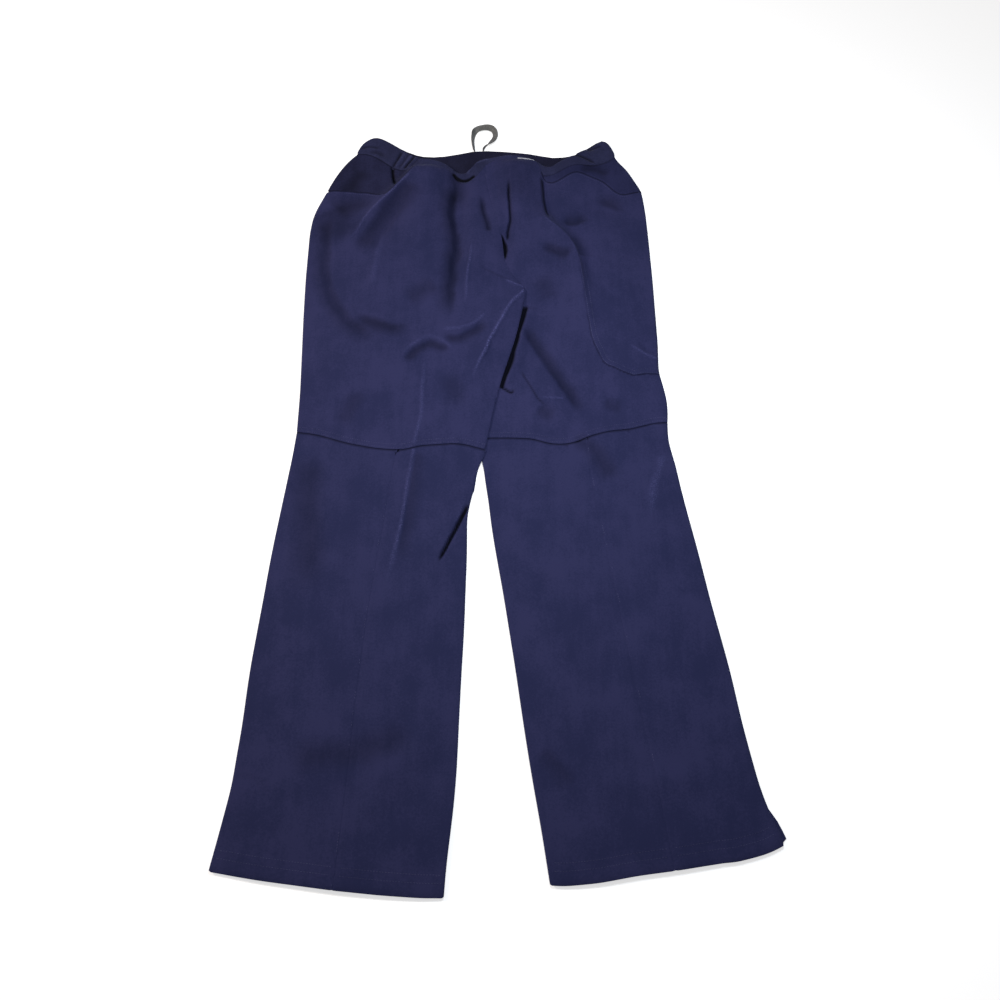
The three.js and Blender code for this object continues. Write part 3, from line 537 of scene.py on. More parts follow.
print("deep folds:", len(PAINTED_FOLD_SHADE))

# %% [markdown]
# The tone of every point is kept in an attribute of the mesh, where the materials read it: rubbed dye and
# painted highlight above zero, painted shade below.

# %% Tone of a panel
NAMED = {crease["name"]: crease for crease in CREASES}


def marks_on(places, kinds):
    tone = np.zeros(len(places[0]))
    for mark in RUBBED_AND_HIGHLIT_EDGES + PAINTED_FOLD_SHADE:
        crease = NAMED[mark["crease"]]
        if crease["on"] in kinds:
            left, right = mark["left"] * MM, mark.get("right", mark["left"]) * MM
            # rubbed dye and painted highlight add to the tone, painted shade takes from it
            tone += mark["tone"] * spread(places, crease, left, right)
    return np.clip(tone, -1, 1)


def store_tone(piece, tone):
    piece.data.attributes.new("tone", "FLOAT", "POINT").data.foreach_set("value", tone)


# %% [markdown]
# No cloth is quite smooth: handling leaves soft dents a hand's width apart and a faint unevenness a
# finger's width apart. Two octaves of noise do both. The lowest height keeps the sheet above the layer
# under it, and a soft lower limit makes it come to rest there instead of being cut off.

# %% Handling, and the layer underneath
DENT_SIZE = 75 * MM
DENT_DEPTH = 0.55 * MM
DENT_ALONG = 0.7  # dents are longer along the leg than across it
RIPPLE_SIZE = 17 * MM
RIPPLE_DEPTH = 0.16 * MM
RIPPLE_ALONG = 0.8
REST_ON_LEG = 3.1 * MM
REST_ON_BAND = 4.5 * MM
BAND_FROM = 430 * MM
BAND_TO = 440 * MM
REST_SOFT = 0.5 * MM


def handling(points):
    lift = np.empty(len(points))
    for i, (x, y, _) in enumerate(points):
        lift[i] = (DENT_DEPTH * noise.noise(Vector((x, y * DENT_ALONG, 0)) / DENT_SIZE)
                   + RIPPLE_DEPTH * noise.noise(Vector((x, y * RIPPLE_ALONG, 0.3)) / RIPPLE_SIZE))
    return lift


def come_to_rest(z, y):
    lowest = REST_ON_LEG + (REST_ON_BAND - REST_ON_LEG) * smooth((y - BAND_FROM) / (BAND_TO - BAND_FROM))
    above = z - lowest
    return lowest + (above + np.hypot(above, REST_SOFT)) / 2


# %% [markdown]
# The panels are listed from the top one to the lowest, each with the panel's kind, the levels of its
# subdivision, and the width, length and area of its cut in metres.

# %% Panels, from the top one to the lowest
PANELS = table("node name kind levels width length area", [
    ("back_left_upper_leg", "left_seat_and_thigh", "left", 3, 0.300, 0.465, 0.1132),
    ("back_right_upper_leg", "right_seat_and_thigh", "right", 3, 0.235, 0.465, 0.0893),
    ("back_left_lower_leg_outer", "left_calf_outer_panel", "left", 3, 0.170, 0.530, 0.0634),
    ("back_right_lower_leg_outer", "right_calf_outer_panel", "right", 3, 0.186, 0.525, 0.0550),
    ("back_left_lower_leg_inner", "left_calf_inner_panel", "left", 3, 0.150, 0.520, 0.0574),
    ("back_right_lower_leg_inner", "right_calf_inner_panel", "right", 3, 0.200, 0.518, 0.0667),
    ("back_left_yoke", "left_yoke", "yoke", 3, 0.120, 0.092, 0.0065),
    ("back_right_yoke", "right_yoke", "yoke", 3, 0.138, 0.072, 0.0042),
    ("back_waistband", "back_waistband_cloth", "band", 3, 0.385, 0.028, 0.0107),
])
nodes = [row["node"] for row in PANELS]
print("panels:", len(nodes))

# %% [markdown]
# The outline of a fine sheet is found by walking along the edges that have a face on one side only. A
# search tree over its points tells later how far any place is from it.


# %% Outlines
def walk_edge(mesh):
    """The vertices of a sheet's outline, in order, with the sheet on the left."""
    ahead = {}
    used = {}
    for face in mesh.polygons:
        for a, b in face.edge_keys:
            used[a, b] = used.get((a, b), 0) + 1
    for face in mesh.polygons:
        ring = list(face.vertices)
        for a, b in zip(ring, ring[1:] + ring[:1]):
            if used[min(a, b), max(a, b)] == 1:
                ahead[a] = b
    start = min(ahead)
    order = [start]
    while ahead[order[-1]] != start:
        order.append(ahead[order[-1]])
    return np.array(order)


def tree_of(points):
    tree = KDTree(len(points))
    for i, point in enumerate(points):
        tree.insert(point, i)
    tree.balance()
    return tree


panels = {}
for row in PANELS:
    piece = fine_sheet(row["name"], row["node"], row["levels"])
    points = get_points(piece)
    order = walk_edge(piece.data)
    panels[row["node"]] = {"piece": piece, "points": points, "order": order, "row": row,
                           "edge": points[order].copy()}
    panels[row["node"]]["tree"] = tree_of(points[order])
    print(row["name"], len(points), "points, outline of", len(order))


# %% [markdown]
# Where two outlines run close together, the panels are sewn to each other, and the one further down the
# list lies under the other. Calf seams and the centre seam are pressed open, so they hardly show a step.

# %% Seams between the panels
SEAM_REACH = 2.6 * MM
PRESSED = {("back_left_lower_leg_outer", "back_left_lower_leg_inner"),
           ("back_right_lower_leg_outer", "back_right_lower_leg_inner"),
           ("back_left_upper_leg", "back_right_upper_leg")}


def beyond_the_seam(node, others):
    """For each point of a panel's outline: the other panel that it is sewn to, or None."""
    partner = []
    for point in panels[node]["edge"]:
        near = [(panels[other]["tree"].find(point)[2], other) for other in others]
        gap, other = min(near)
        partner.append(other if gap < SEAM_REACH else None)
    return partner


for i, node in enumerate(nodes):
    panel = panels[node]
    panel["partner"] = beyond_the_seam(node, [other for other in nodes if other != node])
    panel["under"] = np.array([p is not None and nodes.index(p) < i for p in panel["partner"]])
    panel["free"] = np.array([p is None for p in panel["partner"]])
    panel["pressed"] = np.array([(node, p) in PRESSED or (p, node) in PRESSED for p in panel["partner"]])
    yoke_side = np.array([p is not None and ("yoke" in p or "yoke" in node) for p in panel["partner"]])
    panel["far"] = yoke_side & ~panel["under"]
    print(node, "sewn to", sorted({p for p in panel["partner"] if p}))

# %% [markdown]
# The fitting needs a few measures: how far each point is from a line, how high a surface stands over a
# place, which stretches of an outline belong together, and which way is off the sheet.

# %% Distances, heights and stretches of edge
ABOVE_ALL = 100 * MM
SHORTEST_RUN = 8  # a stretch of fewer points is the corner of a panel, not a seam


def distance_to(points, places):
    if not len(places):
        return np.full(len(points), np.inf)
    tree = tree_of(np.column_stack([places[:, :2], np.zeros(len(places))]))
    return np.array([tree.find((x, y, 0))[2] for x, y, _ in points])


def face_tree(piece):
    return BVHTree.FromPolygons([v.co.copy() for v in piece.data.vertices],
                                [tuple(face.vertices) for face in piece.data.polygons])


def height_at(tree, x, y):
    hit = tree.ray_cast(Vector((x, y, ABOVE_ALL)), Vector((0, 0, -1)))
    return None if hit[0] is None else hit[0].z


def runs_of(chosen):
    """The unbroken runs of chosen points round a closed outline."""
    n = len(chosen)
    if chosen.all():
        return [list(range(n)) + [0]]
    starts = [k for k in range(n) if chosen[k] and not chosen[k - 1]]
    runs = []
    for k in starts:
        run = []
        while chosen[k % n] and len(run) < n:
            run.append(k % n)
            k += 1
        runs.append(run)
    return [run for run in runs if len(run) > SHORTEST_RUN]


def outward(edge):
    """The plan direction that points off the sheet, at each point of its outline."""
    along = np.roll(edge, -1, axis=0)[:, :2] - np.roll(edge, 1, axis=0)[:, :2]
    along /= np.linalg.norm(along, axis=1)[:, None] + 1e-12
    return np.column_stack([along[:, 1], -along[:, 0]])


# %% [markdown]
# At a seam one panel laps over its neighbour. The panel on top keeps its edge. The one below dips just
# before the seam and runs on under the other, so that no gap shows, only the small step and the thin
# shadow of a real lapped seam.

# %% The lap under a seam
LAP = 2.2 * MM
LAP_DROP = 0.9 * MM
LAP_DIP = 2.8 * MM
LAP_TAPER = 9 * MM  # the lap runs out to nothing over this length towards a free edge
LAP_LEAST = 0.08
PRESSED_LAP = 1.2 * MM
PRESSED_DROP = 0.3 * MM
PRESSED_RISE = 0.25 * MM


def lap_under(node):
    """Runs the sheet on under its neighbours, along the seams where it is the lower one."""
    panel = panels[node]
    above = [panels[other]["faces"] for other in nodes[:nodes.index(node)]]
    sheet = bmesh.new()
    sheet.from_mesh(panel["piece"].data)
    corners = list(sheet.verts)
    n = len(panel["order"])
    for run in runs_of(panel["under"]):
        before, after = (run[0] - 1) % n, (run[-1] + 1) % n
        run = [before] * (not panel["free"][before]) + run + [after] * (not panel["free"][after])
        ids = panel["order"][run]
        line = panel["points"][ids]
        along = np.gradient(line[:, :2], axis=0)
        along /= np.linalg.norm(along, axis=1)[:, None]
        out = np.column_stack([along[:, 1], -along[:, 0]])
        out *= np.clip(distance_to(line, panel["edge"][panel["free"]]) / LAP_TAPER, LAP_LEAST, 1)[:, None]
        made = []
        for k, m in enumerate(run):
            pressed = panel["pressed"][m]
            x, y = line[k, :2] + out[k] * (PRESSED_LAP if pressed else LAP)
            over = [height_at(faces, x, y) for faces in above]
            over = [h - (PRESSED_RISE if pressed else LAP_DROP) for h in over if h is not None]
            made.append(sheet.verts.new((x, y, min([line[k, 2]] + over))))
        for k in range(len(run) - 1):
            sheet.faces.new((corners[ids[k + 1]], corners[ids[k]], made[k], made[k + 1]))
    sheet.to_mesh(panel["piece"].data)
    sheet.free()


# %% [markdown]
# Solidify gives the cloth its thickness, downwards, and a fine bevel rounds the cut edge.

# %% Thickness
WALL = 0.7 * MM
CUT_EDGE = 0.4  # the bevel's width as a share of the cloth's thickness


def thicken(piece, wall):
    shell = piece.modifiers.new("shell", "SOLIDIFY")
    shell.thickness = wall
    shell.offset = -1
    edge = piece.modifiers.new("edge", "BEVEL")
    edge.width = wall * CUT_EDGE
    edge.segments = 2
    edge.limit_method = "ANGLE"
    edge.angle_limit = math.radians(70)
    apply_modifiers(piece)
    piece.data.shade_smooth()


# %% [markdown]
# At the waist the seat's cloth laps over the waistband, up to 13 mm on the crown of a fold. The waistband
# is pressed down where the cloth lies over it.

# %% The seat over the waistband
OVER_THE_BAND = table("x lap", [
    (-150, 0), (-122, 3.5), (-72, 3.5), (-48, 1), (-26, 7), (-8, 11.5), (20, 11), (36, 11.5), (51, 13),
    (61, 4), (76, 0),
])
OVER_REACH = 45 * MM
SEAT_TOP_FROM = 425 * MM
TUCK_SLOPE = 0.7
TUCK_DROP = 0.9 * MM
TUCK_REACH = 9 * MM


def rise_to_the_band(points, node):
    """The seat's upper edge laps over the waistband, more on the crowns of its folds."""
    if "upper" not in node:
        return
    edge = panels[node]["edge"]
    top = edge[edge[:, 1] > SEAT_TOP_FROM]
    order = np.argsort(top[:, 0])
    top_y = np.interp(points[:, 0], top[order, 0], top[order, 1])
    xs = [row["x"] * MM for row in OVER_THE_BAND]
    laps = [row["lap"] * MM for row in OVER_THE_BAND]
    lap = np.interp(points[:, 0], xs, laps)
    near = smooth((points[:, 1] - top_y + OVER_REACH) / OVER_REACH)
    points[:, 1] += lap * near
    panels[node]["edge"] = points[panels[node]["order"]].copy()


def tuck_under(points, node):
    """Where a panel lies under one that laps over it, it is pressed down below it."""
    for other in nodes[:nodes.index(node)]:
        if "upper" not in other:
            continue
        edge = panels[other]["shaped_edge"]
        tree = tree_of(np.column_stack([edge[:, :2], np.zeros(len(edge))]))
        for i, (x, y, z) in enumerate(points):
            above = height_at(panels[other]["faces"], x, y)
            if above is None:
                _, k, d = tree.find((x, y, 0))
                if d > TUCK_REACH:
                    continue
                above = edge[k, 2] + TUCK_SLOPE * d
            points[i, 2] = min(z, above - TUCK_DROP)
            z = points[i, 2]


# %% [markdown]
# The solids' outlines are straight between a few points. Cloth is fuller: free edges stand out a little
# further, most at the hem, and at a few places that were read from the photograph.

# %% Fuller edges
EDGE_FULLNESS = 0.9 * MM
HEM_FULLNESS = 1.7 * MM
FULLNESS_REACH = 14 * MM
FACES_HEM = -0.8  # an edge whose outward direction points further down the legs than this is a hem
FULLER = table("x y more reach hem", [
    (-20, -10, 2.4, 24, False), (-110, 488, 1.6, 60, False), (115, 490, 1.6, 60, False),
    (278, -470, 6.0, 55, True), (190, -488, 1, 60, True), (-190, 500, 0.8, 30, False),
])


def fill_out(points, node):
    """Free edges stand a little further out than the solids' edges, most at the hem."""
    edge = panels[node]["edge"]
    free = panels[node]["free"]
    if not free.any():
        return
    out = outward(edge)[free]
    tree_points = np.column_stack([edge[free, :2], np.zeros(free.sum())])
    tree = tree_of(tree_points)
    shifts = np.zeros((len(points), 2))
    for i, (x, y, _) in enumerate(points):
        _, k, d = tree.find((x, y, 0))
        full = HEM_FULLNESS if out[k, 1] < FACES_HEM else EDGE_FULLNESS
        for row in FULLER:
            gap = math.hypot(tree_points[k, 0] - row["x"] * MM, tree_points[k, 1] - row["y"] * MM)
            share = max(0, -out[k, 1]) if row["hem"] else 1
            full += share * row["more"] * MM * float(1 - smooth(gap / (row["reach"] * MM)))
        shifts[i] = out[k] * full * (1 - min(d / FULLNESS_REACH, 1))
    points[:, :2] += shifts
    panels[node]["edge"] = points[panels[node]["order"]].copy()


# %% [markdown]
# A seam shows as a thin dark line. Beside a yoke the far edge of the panel on top is dark as well, because
# it stands up there. The pocket's seam is drawn on the leg under it, fainter towards the pocket's top.

# %% Shade along the seams
SEAM_SHADE = 0.66
SEAM_SHADE_WIDTH = 1.15 * MM
FAR_SHADE = {"back_left_yoke": 0.6, "back_right_yoke": 0.35}
FAR_SHADE_SEAT = 0.9
FAR_SHADE_WIDTH = 2.8 * MM
POCKET_LOW = 190 * MM
POCKET_FADE = 50 * MM
POCKET_FAINT = 0.4
POCKET_SEWN_TO = 284 * MM
SIDE_FROM = 205 * MM  # the pocket's edge beyond this lies along the side seam
pocket_sheet = fine_sheet("pocket_outline", "cargo_pocket", 2)
POCKET_EDGE = get_points(pocket_sheet)[walk_edge(pocket_sheet.data)]
bpy.data.objects.remove(pocket_sheet)


def near(points, line, width):
    """1 on a line, and 0 from this width on."""
    return 1 - smooth(distance_to(points, line) / width)


def seam_shade(node, points, lapped):
    panel = panels[node]
    shade = SEAM_SHADE * near(points, panel["edge"][lapped], SEAM_SHADE_WIDTH)
    shade += FAR_SHADE.get(node, FAR_SHADE_SEAT) * near(points, panel["edge"][panel["far"]], FAR_SHADE_WIDTH)
    if node == "back_right_upper_leg":
        sewn = POCKET_EDGE[(POCKET_EDGE[:, 1] < POCKET_SEWN_TO) & (POCKET_EDGE[:, 0] < SIDE_FROM)]
        # the painted shade of the pocket's seam is fainter towards its top
        pocket_shade_share = POCKET_FAINT + (1 - POCKET_FAINT) * smooth((POCKET_LOW - points[:, 1]) / POCKET_FADE)
        shade += SEAM_SHADE * pocket_shade_share * near(points, sewn, SEAM_SHADE_WIDTH)
    return shade


print("pocket outline:", len(POCKET_EDGE), "points")

# %% [markdown]
# Every panel now gets its creases, its dents and its edges, the top panel first, because the ones below
# are fitted under it. A free edge, at the side, the inner leg or the hem, rolls down a little.

# %% The panels take their form
ROLL = 3.0 * MM
ROLL_DROP = 0.8 * MM
SMOOTH_AT_SEAMS = 9 * MM  # the dents of handling fade towards a seam, over this distance


def lower_the_edges(node, points, lapped):
    """A free edge rolls down, a lapped one dips under its neighbour, and a pressed one sinks a little."""
    panel = panels[node]
    away = np.clip(distance_to(points, panel["edge"][panel["free"]]) / ROLL, 0, 1)
    points[:, 2] -= ROLL_DROP * (1 - np.sqrt(1 - (1 - away) ** 2))
    points[:, 2] -= LAP_DROP * near(points, panel["edge"][lapped], LAP_DIP)
    points[:, 2] -= PRESSED_DROP * near(points, panel["edge"][panel["pressed"]], LAP_DIP)
    if node == "back_waistband":
        tuck_under(points, node)


def shape_panel(node):
    panel = panels[node]
    points = panel["points"]
    kinds = [panel["row"]["kind"]]
    if "yoke" in kinds:
        kinds.append("left" if points[:, 0].mean() < 0 else "right")
    fill_out(points, node)
    rise_to_the_band(points, node)
    places = (points[:, :2].copy(), unevenness(points[:, :2]))
    lift = sum(crease_lift(places, crease) for crease in CREASES if crease["on"] in kinds)
    seam_away = distance_to(points, panel["edge"][~panel["free"]])
    points[:, 2] += lift + handling(points) * smooth(seam_away / SMOOTH_AT_SEAMS)
    points[:, 2] = come_to_rest(points[:, 2], points[:, 1])
    lapped = panel["under"] & ~panel["pressed"]
    lower_the_edges(node, points, lapped)
    panel["shaped_edge"] = points[panel["order"]].copy()
    set_points(panel["piece"], points)
    # the tone: rubbed dye and painted highlight on the edges, painted shade in the folds and along the seams
    tone = marks_on(places, kinds) - seam_shade(node, points, lapped)
    store_tone(panel["piece"], np.clip(tone, -1, 1))
    panel["faces"] = face_tree(panel["piece"])
    lap_under(node)
    thicken(panel["piece"], WALL)


for node in nodes:
    shape_panel(node)
print("cloth panels:", sum(triangles(p["piece"]) for p in panels.values()), "triangles")

# %% [markdown]
# The front of the trousers lies flat underneath. Its two legs and its waistband show only at the waist
# and as a thin layer at the edges, so they are plain sheets a little thinner than their solids.


# %% The front, lying underneath
TOP_FACES = 0.5
WAVE_SIZE = 22 * MM
LAST_CELL = 1 / 3  # no cut is made closer to the far edge than this share of a step


def flat_sheet(name, node, low, high, step, waves, full=0.0):
    """A thin layer with the outline of a flat solid, or a little fuller, its upper side gently uneven."""
    sheet = upper_faces(node, TOP_FACES)
    bmesh.ops.dissolve_faces(sheet, faces=sheet.faces)
    outline = [loop.vert for face in sheet.faces for loop in face.loops]
    out = outward(np.array([v.co[:] for v in outline]))
    for v, (x, y) in zip(outline, out):
        v.co += Vector((x, y, 0)) * full
    for normal in (Vector((1, 0, 0)), Vector((0, 1, 0))):
        reach = [v.co.dot(normal) for v in sheet.verts]
        for cut in np.arange(min(reach) + step, max(reach) - step * LAST_CELL, step):
            whole = sheet.verts[:] + sheet.edges[:] + sheet.faces[:]
            bmesh.ops.bisect_plane(sheet, geom=whole, plane_co=normal * cut, plane_no=normal, dist=1e-6)
    for v in sheet.verts:
        v.co.z = high + waves * noise.noise(Vector((v.co.x, v.co.y, 0)) / WAVE_SIZE)
    mesh = bpy.data.meshes.new(name)
    sheet.to_mesh(mesh)
    sheet.free()
    piece = add_object(name, mesh)
    thicken(piece, high - waves - low)
    return piece


front_left = flat_sheet("front_left_leg_cloth", "front_left_leg", 0.1 * MM, 1.4 * MM, 12 * MM, 0.12 * MM)
front_right = flat_sheet("front_right_leg_cloth", "front_right_leg", 0.1 * MM, 1.4 * MM, 12 * MM, 0.12 * MM)
front_band = flat_sheet("front_waistband_cloth", "front_waistband", 0.2 * MM, 2.7 * MM, 6 * MM, 0.2 * MM,
                        full=1.6 * MM)
print("front:", [(p.name, triangles(p)) for p in (front_left, front_right, front_band)])

# %% [markdown]
# The cargo pocket is sewn on top of the right leg, so it follows the leg's surface a cloth's thickness
# above it. The label is a small bare woven patch on the back of the waistband.


# %% Pocket and label
EDGE_SINKS = 0.55  # share of its height by which an edge is pressed down on what carries it
FLUSH_FROM = 262 * MM  # from here up the pocket lies flush with the leg, because no edge shows there
FLUSH_OVER = 28 * MM
FLUSH_SINKS = 0.75
POCKET_SHADE = 0.57
PATCH_WALL = 0.9


def laid_on(name, node, levels, bed, lift, turn_in, kind):
    """A patch of cloth that follows the panel under it."""
    piece = fine_sheet(name, node, levels)
    points = get_points(piece)
    order = walk_edge(piece.data)
    edge = points[order]
    away = distance_to(points, edge)
    for i, (x, y, z) in enumerate(points):
        below = height_at(panels[bed]["faces"], x, y)
        if below is None:
            below = z - lift
        rounded = 1 - math.sqrt(1 - (1 - min(away[i] / turn_in, 1)) ** 2)
        flush = float(smooth((y - FLUSH_FROM) / FLUSH_OVER)) if kind == "pocket" else 0
        points[i, 2] = below + lift * (1 - EDGE_SINKS * rounded) * (1 - FLUSH_SINKS * flush)
    places = (points[:, :2].copy(), unevenness(points[:, :2]))
    for crease in CREASES:
        if crease["on"] == kind:
            points[:, 2] += crease_lift(places, crease)
    set_points(piece, points)
    # the tone: rubbed dye and painted highlight on the edges, painted shade in the folds and along the
    # pocket's sewn edge
    tone = marks_on(places, [kind])
    if kind == "pocket":
        sewn = edge[(edge[:, 1] < POCKET_LOW) & (edge[:, 0] < SIDE_FROM)]
        tone -= SEAM_SHADE * POCKET_SHADE * near(points, sewn, SEAM_SHADE_WIDTH)
    store_tone(piece, tone)
    tree = face_tree(piece)
    thicken(piece, lift * PATCH_WALL)
    return {"piece": piece, "faces": tree, "edge": points[order]}


pocket = laid_on("cargo_pocket_cloth", "cargo_pocket", 3, "back_right_upper_leg", 1.3 * MM, 2 * MM, "pocket")
label = laid_on("label_patch", "label", 4, "back_waistband", 0.7 * MM, 0.5 * MM, "label")
print("pocket and label:", triangles(pocket["piece"]), triangles(label["piece"]))

# %% [markdown]
# Stitches are real thread. One is modelled by hand from a six-sided bar, with its ends drawn out to blunt
# points. It is then copied along each row, half sunk into the cloth.

# %% One stitch
STITCH = 2.1 * MM
THREAD = 0.5 * MM
BAR = 0.3  # the full middle part, as a share of the stitch
DRAWN_OUT = 0.27
TIP = 0.08
FLATTENED = 0.8


def end_of_stitch(side):
    """Draws one end of the stitch out to a blunt point, from its flat end face."""
    bpy.ops.mesh.select_all(action="DESELECT")
    made = bmesh.from_edit_mesh(bpy.context.edit_object.data)
    for face in made.faces:
        face.select_set(face.normal.x * side > 0.9)
    bmesh.update_edit_mesh(bpy.context.edit_object.data)
    bpy.ops.mesh.extrude_region_move(TRANSFORM_OT_translate={"value": (side * STITCH * DRAWN_OUT, 0, 0)})
    bpy.ops.transform.resize(value=(1, 0.7, 0.7))
    bpy.ops.mesh.poke(offset=STITCH * TIP)


bpy.ops.object.select_all(action="DESELECT")
bpy.ops.mesh.primitive_cylinder_add(
    vertices=6, radius=THREAD / 2, depth=STITCH * BAR, end_fill_type="NGON", rotation=(0, math.pi / 2, 0))
bpy.ops.object.transform_apply(location=True, rotation=True, scale=True)
one_stitch = bpy.context.object
bpy.ops.object.mode_set(mode="EDIT")
bpy.ops.mesh.select_mode(type="FACE")
end_of_stitch(1)
end_of_stitch(-1)
bpy.ops.mesh.select_all(action="SELECT")
bpy.ops.transform.resize(value=(1, 1, FLATTENED))
bpy.ops.mesh.normals_make_consistent(inside=False)
bpy.ops.object.mode_set(mode="OBJECT")
bpy.ops.object.shade_smooth()
stitch_size = [round(d / MM, 2) for d in one_stitch.dimensions]
print("one stitch:", len(one_stitch.data.polygons), "faces,", stitch_size, "mm")

# %% [markdown]
# A row of stitches follows a seam or an edge at its own distance, so it is found from the panel's outline.
# Where the thread lies sunk in the cloth, noise hides most of its stitches.

# %% Places for the stitches of a row
STITCH_GAP = 0.9 * MM
SUNK_SIZE = 11 * MM


def row_beside(edge, chosen, offset):
    out = outward(edge)
    return [edge[run, :2] - out[run] * offset for run in runs_of(chosen)]


def stitches_along(line, faces, sunk=None):
    """The middle, direction and normal of each stitch of a row. Where a row is sunk, most of it is hidden."""
    step = np.linalg.norm(np.diff(line, axis=0), axis=1)
    reach = np.concatenate([[0], np.cumsum(step)])
    pitch = STITCH + STITCH_GAP
    made = []
    for k in range(int(reach[-1] / pitch)):
        s = (k + 0.5) * pitch
        back, middle, ahead = ([np.interp(s + d, reach, line[:, 0]), np.interp(s + d, reach, line[:, 1])]
                               for d in (-0.5 * MM, 0, 0.5 * MM))
        hit = faces.ray_cast(Vector((*middle, ABOVE_ALL)), Vector((0, 0, -1)))
        if hit[0] is None or sunk is not None and noise.noise(hit[0] / SUNK_SIZE) < sunk:
            continue
        run = Vector((ahead[0] - back[0], ahead[1] - back[1], 0))
        normal = hit[1] if hit[1].z > 0 else -hit[1]
        run = (run - normal * run.dot(normal)).normalized()
        made.append((hit[0], run, normal))
    return made


# %% [markdown]
# Two rows lie above each knee seam, one beside each yoke and a sparse one along the calf seams. Distances
# are in millimetres. The fourth column says how much of a row is sunk.

# %% Rows along the seams
KNEE_ROWS = (2.2, 7)
CALF_ROW = 1.6
YOKE_ROW = 3.8
ROWS = []
for side in ("left", "right"):
    upper, outer, inner = (f"back_{side}_{part}"
                           for part in ("upper_leg", "lower_leg_outer", "lower_leg_inner"))
    ROWS += [(upper, lower, offset) for lower in (outer, inner) for offset in KNEE_ROWS]
ROWS += [(f"back_{side}_lower_leg_outer", f"back_{side}_lower_leg_inner", CALF_ROW, 0.2)
         for side in ("left", "right")]
ROWS += [(f"back_{side}_upper_leg", f"back_{side}_yoke", YOKE_ROW) for side in ("left", "right")]

seam_stitches = []
for row in table("node seam offset sunk", ROWS):
    panel = panels[row["node"]]
    chosen = np.array([partner == row["seam"] for partner in panel["partner"]])
    for line in row_beside(panel["edge"], chosen, row["offset"] * MM):
        seam_stitches += stitches_along(line, panel["faces"], row.get("sunk"))
CENTRE_BACK = smooth_path(np.array([(-20, 462), (-20, 446), (-19.5, 431)]) * MM, 2 * MM)
seam_stitches += stitches_along(CENTRE_BACK, panels["back_right_upper_leg"]["faces"])
print("stitches along the seams:", len(seam_stitches))

# %% [markdown]
# Two rows hold each hem, 8 mm apart, and two run inside the pocket's sewn edge.

# %% Rows at the hems and the pocket
HEM_ROWS = (14 * MM, 22 * MM)
POCKET_ROWS = (1.6 * MM, 7 * MM)
FACES_SIDE = 0.6  # the pocket's edge that points further sideways than this lies in the side seam
POCKET_THREAD_TO = 276 * MM

hem_stitches, pocket_stitches = [], []
for name in [name for name in nodes if "lower" in name]:
    panel = panels[name]
    chosen = panel["free"] & (outward(panel["edge"])[:, 1] < FACES_HEM)
    for offset in HEM_ROWS:
        for line in row_beside(panel["edge"], chosen, offset):
            hem_stitches += stitches_along(line, panel["faces"])
sewn_down = (outward(pocket["edge"])[:, 0] < FACES_SIDE) & (pocket["edge"][:, 1] < POCKET_THREAD_TO)
for offset in POCKET_ROWS:
    for line in row_beside(pocket["edge"], sewn_down, offset):
        pocket_stitches += stitches_along(line, pocket["faces"])
print("stitches at the hems and the pocket:", len(hem_stitches), len(pocket_stitches))

# %% [markdown]
# Each copy has its own mesh, moved to its place. The copies of one group are joined to one piece.

# %% Copies of the stitch along each row
def thread_object(name, stitches):
    """Copies the stitch to each place, each with its own mesh, and joins them to one piece."""
    bpy.ops.object.select_all(action="DESELECT")
    for middle, run, normal in stitches:
        across = normal.cross(run)
        copy = one_stitch.copy()
        copy.data = one_stitch.data.copy()
        turn = Matrix((run, across, normal)).transposed().to_4x4()
        copy.data.transform(Matrix.Translation(middle) @ turn)
        bpy.context.collection.objects.link(copy)
        copy.select_set(True)
    bpy.context.view_layer.objects.active = copy
    bpy.ops.object.join()
    joined = bpy.context.object
    joined.name = joined.data.name = name
    return joined


threads = [thread_object("seam_stitches", seam_stitches), thread_object("hem_stitches", hem_stitches),
           thread_object("pocket_stitches", pocket_stitches)]
bpy.data.objects.remove(one_stitch)
print("thread:", [(piece.name, triangles(piece)) for piece in threads])

# %% [markdown]
# Materials come last. Every cloth shares a few node groups, each with named inputs and outputs. Helpers
# keep the groups short: one makes a group, one adds a node with its settings, one adds a texture that
# reads a place, and one calculates.

# %% Helpers for node groups
def new_group(name, inputs, outputs):
    group = bpy.data.node_groups.new(name, "ShaderNodeTree")
    for title, default in inputs:
        socket = group.interface.new_socket(title, in_out="INPUT", socket_type="NodeSocketFloat")
        socket.default_value = default
    for title in outputs:
        group.interface.new_socket(title, in_out="OUTPUT", socket_type="NodeSocketFloat")
    return group, group.nodes.new("NodeGroupInput").outputs, group.nodes.new("NodeGroupOutput").inputs


def node(tree, kind, **settings):
    made = tree.nodes.new(kind)
    for key, value in settings.items():
        if key.startswith("in_"):
            made.inputs[key[3:].replace("_", " ")].default_value = value
        else:
            setattr(made, key, value)
    return made


def texture(tree, kind, place, **settings):
    made = node(tree, kind, **settings)
    tree.links.new(place, made.inputs["Vector"])
    return made


def calculate(tree, operation, first, second):
    made = node(tree, "ShaderNodeMath", operation=operation)
    for socket, value in zip(made.inputs, (first, second)):
        if isinstance(value, (int, float)):
            socket.default_value = value
        else:
            tree.links.new(value, socket)
    return made.outputs[0]


# %% [markdown]
# The twill has slanting ribs, crossed by a faint unevenness of the yarn. It gives only a height, which the
# bump of each cloth takes.

# %% Twill
RIB_SLANT = math.radians(62)
RIB_SCALE = 0.314  # the wave texture's scale for one rib in a metre
RIB_HEIGHT = 0.5

